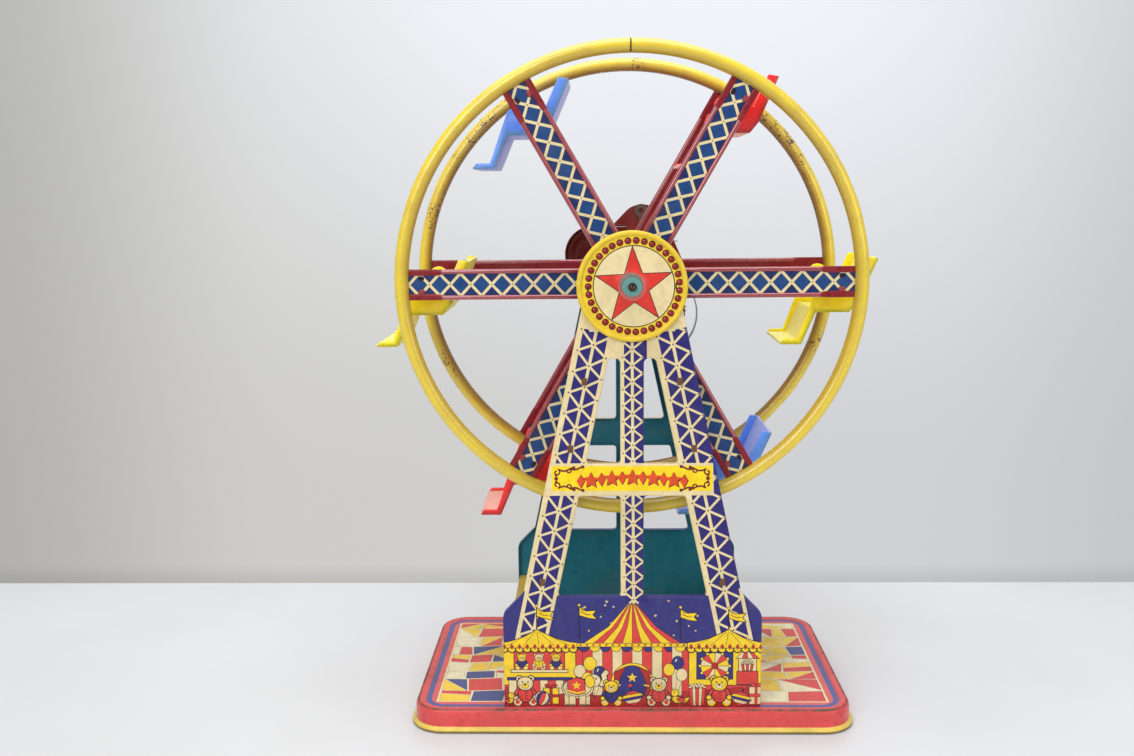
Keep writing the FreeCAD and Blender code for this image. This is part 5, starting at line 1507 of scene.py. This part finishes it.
def make_seats():
    for index, (angle, colour) in enumerate(zip(SPOKE_ANGLES, SEAT_COLOURS), start=1):
        pivot_x = SEAT_PIVOT * math.cos(math.radians(angle))
        pivot_z = AXLE + SEAT_PIVOT * math.sin(math.radians(angle))

        def at(u, v, depth):
            return pivot_x + u, depth, pivot_z + v

        shape = Shape()
        band = SPINE + offset_path(SPINE, SEAT_WALL)[::-1]
        # the middle band is in the paler variant: matt plastic with a painted sheen and glow
        shape.prism(band, at, -SEAT_HALF + 0.2, SEAT_HALF - 0.2, f"{colour}_frost")
        for low, high in ((-SEAT_HALF, -SEAT_HALF + SEAT_WALL), (SEAT_HALF - SEAT_WALL, SEAT_HALF)):
            shape.prism(SPINE + SIDE_INNER, at, low, high, f"{colour}_clear")
            shape.prism(circle(0.0, 0.0, EAR, 32), at, low, high, f"{colour}_clear")
        make(f"moulded_seat_{index}", shape, f"hanging_seat_{index}", [f"seat_{index}"],
             bevel=0.45, sharp=40.0)


# ---------------------------------------------------------------- carried-over metal parts

FINISHES = {
    "wall_yellow": ["left_side_wall", "right_side_wall"],
    "bronze": ["front_leg_channels", "rear_leg_channels"],
    "brass": ["axle_bushes", "train_wheel", "great_wheel", "second_wheel", "fly_vane"],
    "motor_red": ["motor_front_plate", "motor_rear_plate", "motor_pillars"],
    "steel": ["motor_rivets", "bell_post", "pivot_studs", "hub_tube", "drive_pinion", "ratchet_click",
              "ratchet_wheel", "crank_arm", "bell_striker"],
    "dull_steel": ["stop_lever"],
    "axle_steel": ["main_axle", "seat_axles", "winding_arbor", "second_arbor", "fly_arbor"],
    "spring": ["mainspring"],
    "bell_red": ["bell"],
    "hub_red": ["front_hub", "rear_hub"],
    "washer_teal": ["axle_washer"],
    "knob_wood": ["crank_knob"],
}


def dress_nodes():
    for ink, names in FINISHES.items():
        for name in names:
            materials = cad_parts[name].data.materials
            materials.clear()
            materials.append(INKS[ink])


# ---------------------------------------------------------------- studio: metres and watts

WALL_Y = 0.198
TABLE_HALF = 1.4
WALL_HALF, WALL_HEIGHT = 6.0, 4.0
WORLD_STRENGTH = 0.34
WORLD_SEEN = (0.70, 0.72, 0.755)
# a lamp's name, place, the height that it aims at, size and power
LAMPS = (("overhead", (-0.10, -0.15, 1.45), 0.2, (1.3, 1.0), 16.0),
         ("key", (-0.75, -1.60, 1.05), 0.22, (1.0, 1.1), 15.0),
         ("fill", (1.3, -1.4, 0.75), 0.2, (0.9, 1.0), 7.5),
         ("back", (0.3, 1.6, 1.3), 0.2, (1.4, 1.0), 8.0))


def wall_material():
    """A wall that shows a colour and lights nothing: warmer on the left, bluer on the right, with a painted
    pool of light high in the middle, painted shade towards its sides and a painted shadow along its foot.
    """
    n = material_nodes("wall")
    x, _, z = n.split(n.place)
    # a painted pool of light: brightest high in the middle, fading towards the sides and downwards
    sides = n.step(n.math("ABSOLUTE", x - 0.03), 0.06, 0.56, 1.0, 0.12)
    rise = n.step(z + n.noise(700.0, 2.0) * 0.05, 0.10, 0.60) * sides
    low = n.mix(n.step(x, -0.30, 0.20), (0.620, 0.613, 0.592), (0.632, 0.636, 0.654))
    high = n.mix(rise, low, (0.905, 0.935, 0.985))
    # painted shade towards the wall's sides
    edge = n.step(x, -0.58, -0.27, 0.72, 1.0) * n.step(x, 0.25, 0.50, 1.0, 0.88)
    # a painted shadow along the foot of the wall
    foot = n.step(z, 0.0, 0.020, 0.84, 1.0)
    glow = n.term("Emission", {"Color": n.mix(1.0, high, edge * foot, "MULTIPLY")})
    path = n.node("LightPath", {}).outputs
    behind = n.node("NewGeometry", {}).outputs["Backfacing"]
    mirrors = n.math("MAXIMUM", path["Is Glossy Ray"], path["Is Transmission Ray"])
    seen = n.math("MAXIMUM", path["Is Camera Ray"], mirrors)
    show = seen * n.math("SUBTRACT", 1.0, behind)
    return n.finish(n.term("MixShader", {0: show, 1: n.term("BsdfTransparent", {}), 2: glow}))


def table_material():
    n = material_nodes("table")
    cloud = n.noise(260.0, 3.0)
    grain = n.noise(1.6, 3.0)
    return n.shade(Base_Color=n.mix(n.step(cloud, 0.3, 0.7), (0.640, 0.645, 0.654), (0.676, 0.688, 0.714)),
                   Roughness=n.step(grain, 0.3, 0.7, 0.42, 0.55), Normal=n.bump(grain, 0.02, 0.3))


def plane(name, corners, material):
    mesh = bpy.data.meshes.new(name)
    mesh.from_pydata(corners, [], [[0, 1, 2, 3]])
    mesh.materials.append(material)
    put(name, mesh)


def make_world():
    """Even light all round, which the camera sees as a pale grey."""
    world = bpy.data.worlds.new("studio")
    bpy.context.scene.world = world
    n = Nodes(world)
    even = n.term("Background", {0: (1.0, 1.0, 1.0), 1: WORLD_STRENGTH})
    seen = n.term("Background", {0: WORLD_SEEN})
    camera_ray = n.node("LightPath", {}).outputs["Is Camera Ray"]
    n.finish(n.term("MixShader", {0: camera_ray, 1: even, 2: seen}), "OutputWorld")


def make_studio():
    """A table, a wall behind it, even light and four soft lamps."""
    plane("table", [(x, y, 0.0) for x, y in box_corners(-TABLE_HALF, -TABLE_HALF, TABLE_HALF, TABLE_HALF)],
          table_material())
    wall_y = MIDDLE.y + WALL_Y
    plane("wall", [(x, wall_y, z) for x, z in box_corners(-WALL_HALF, 0.0, WALL_HALF, WALL_HEIGHT)],
          wall_material())
    make_world()
    for name, position, aim, size, power in LAMPS:
        lamp = bpy.data.lights.new(name, "AREA")
        lamp.shape = "RECTANGLE"
        lamp.size, lamp.size_y = size
        lamp.energy = power
        item = put(name, lamp)
        item.location = position
        forward = Vector((0.0, 0.0, aim)) - Vector(position)
        item.rotation_euler = forward.to_track_quat("-Z", "Y").to_euler()


# the camera's place, solved from the picture's perspective: millimetres and radians
CAMERA_AT = (-22.3, -745.3, 338.0)
CAMERA_YAW, CAMERA_PITCH, CAMERA_ROLL = 0.026, 0.162, -0.010
FOCAL_PIXELS, FRAME_PIXELS = 1112.5, 1134
SENSOR = 36.0


def make_camera():
    yaw, pitch, roll = CAMERA_YAW, CAMERA_PITCH, CAMERA_ROLL
    forward = Vector((-math.sin(yaw) * math.cos(pitch), math.cos(yaw) * math.cos(pitch), -math.sin(pitch)))
    right = Vector((math.cos(yaw), math.sin(yaw), 0.0))
    up = right.cross(forward)
    side = math.cos(roll) * right + math.sin(roll) * up
    top = -math.sin(roll) * right + math.cos(roll) * up
    lens = bpy.data.cameras.new("camera")
    lens.sensor_width = SENSOR
    lens.lens = FOCAL_PIXELS / FRAME_PIXELS * SENSOR
    lens.clip_start = 0.01
    camera = put("camera", lens)
    axes = Matrix((side, top, -forward)).transposed().to_4x4()
    camera.matrix_world = Matrix.Translation(place(*CAMERA_AT)) @ axes
    bpy.context.scene.camera = camera


make_camera()
make_studio()
make_towers()
make_star_disc()
make_axle_end()
make_spokes()
make_rim(-1, "front_rim")
make_rim(1, "rear_rim")
make_tray_panel()
make_tray_rim()
make_motor_tabs()
make_seats()
dress_nodes()

bpy.context.scene.view_settings.view_transform = "Standard"
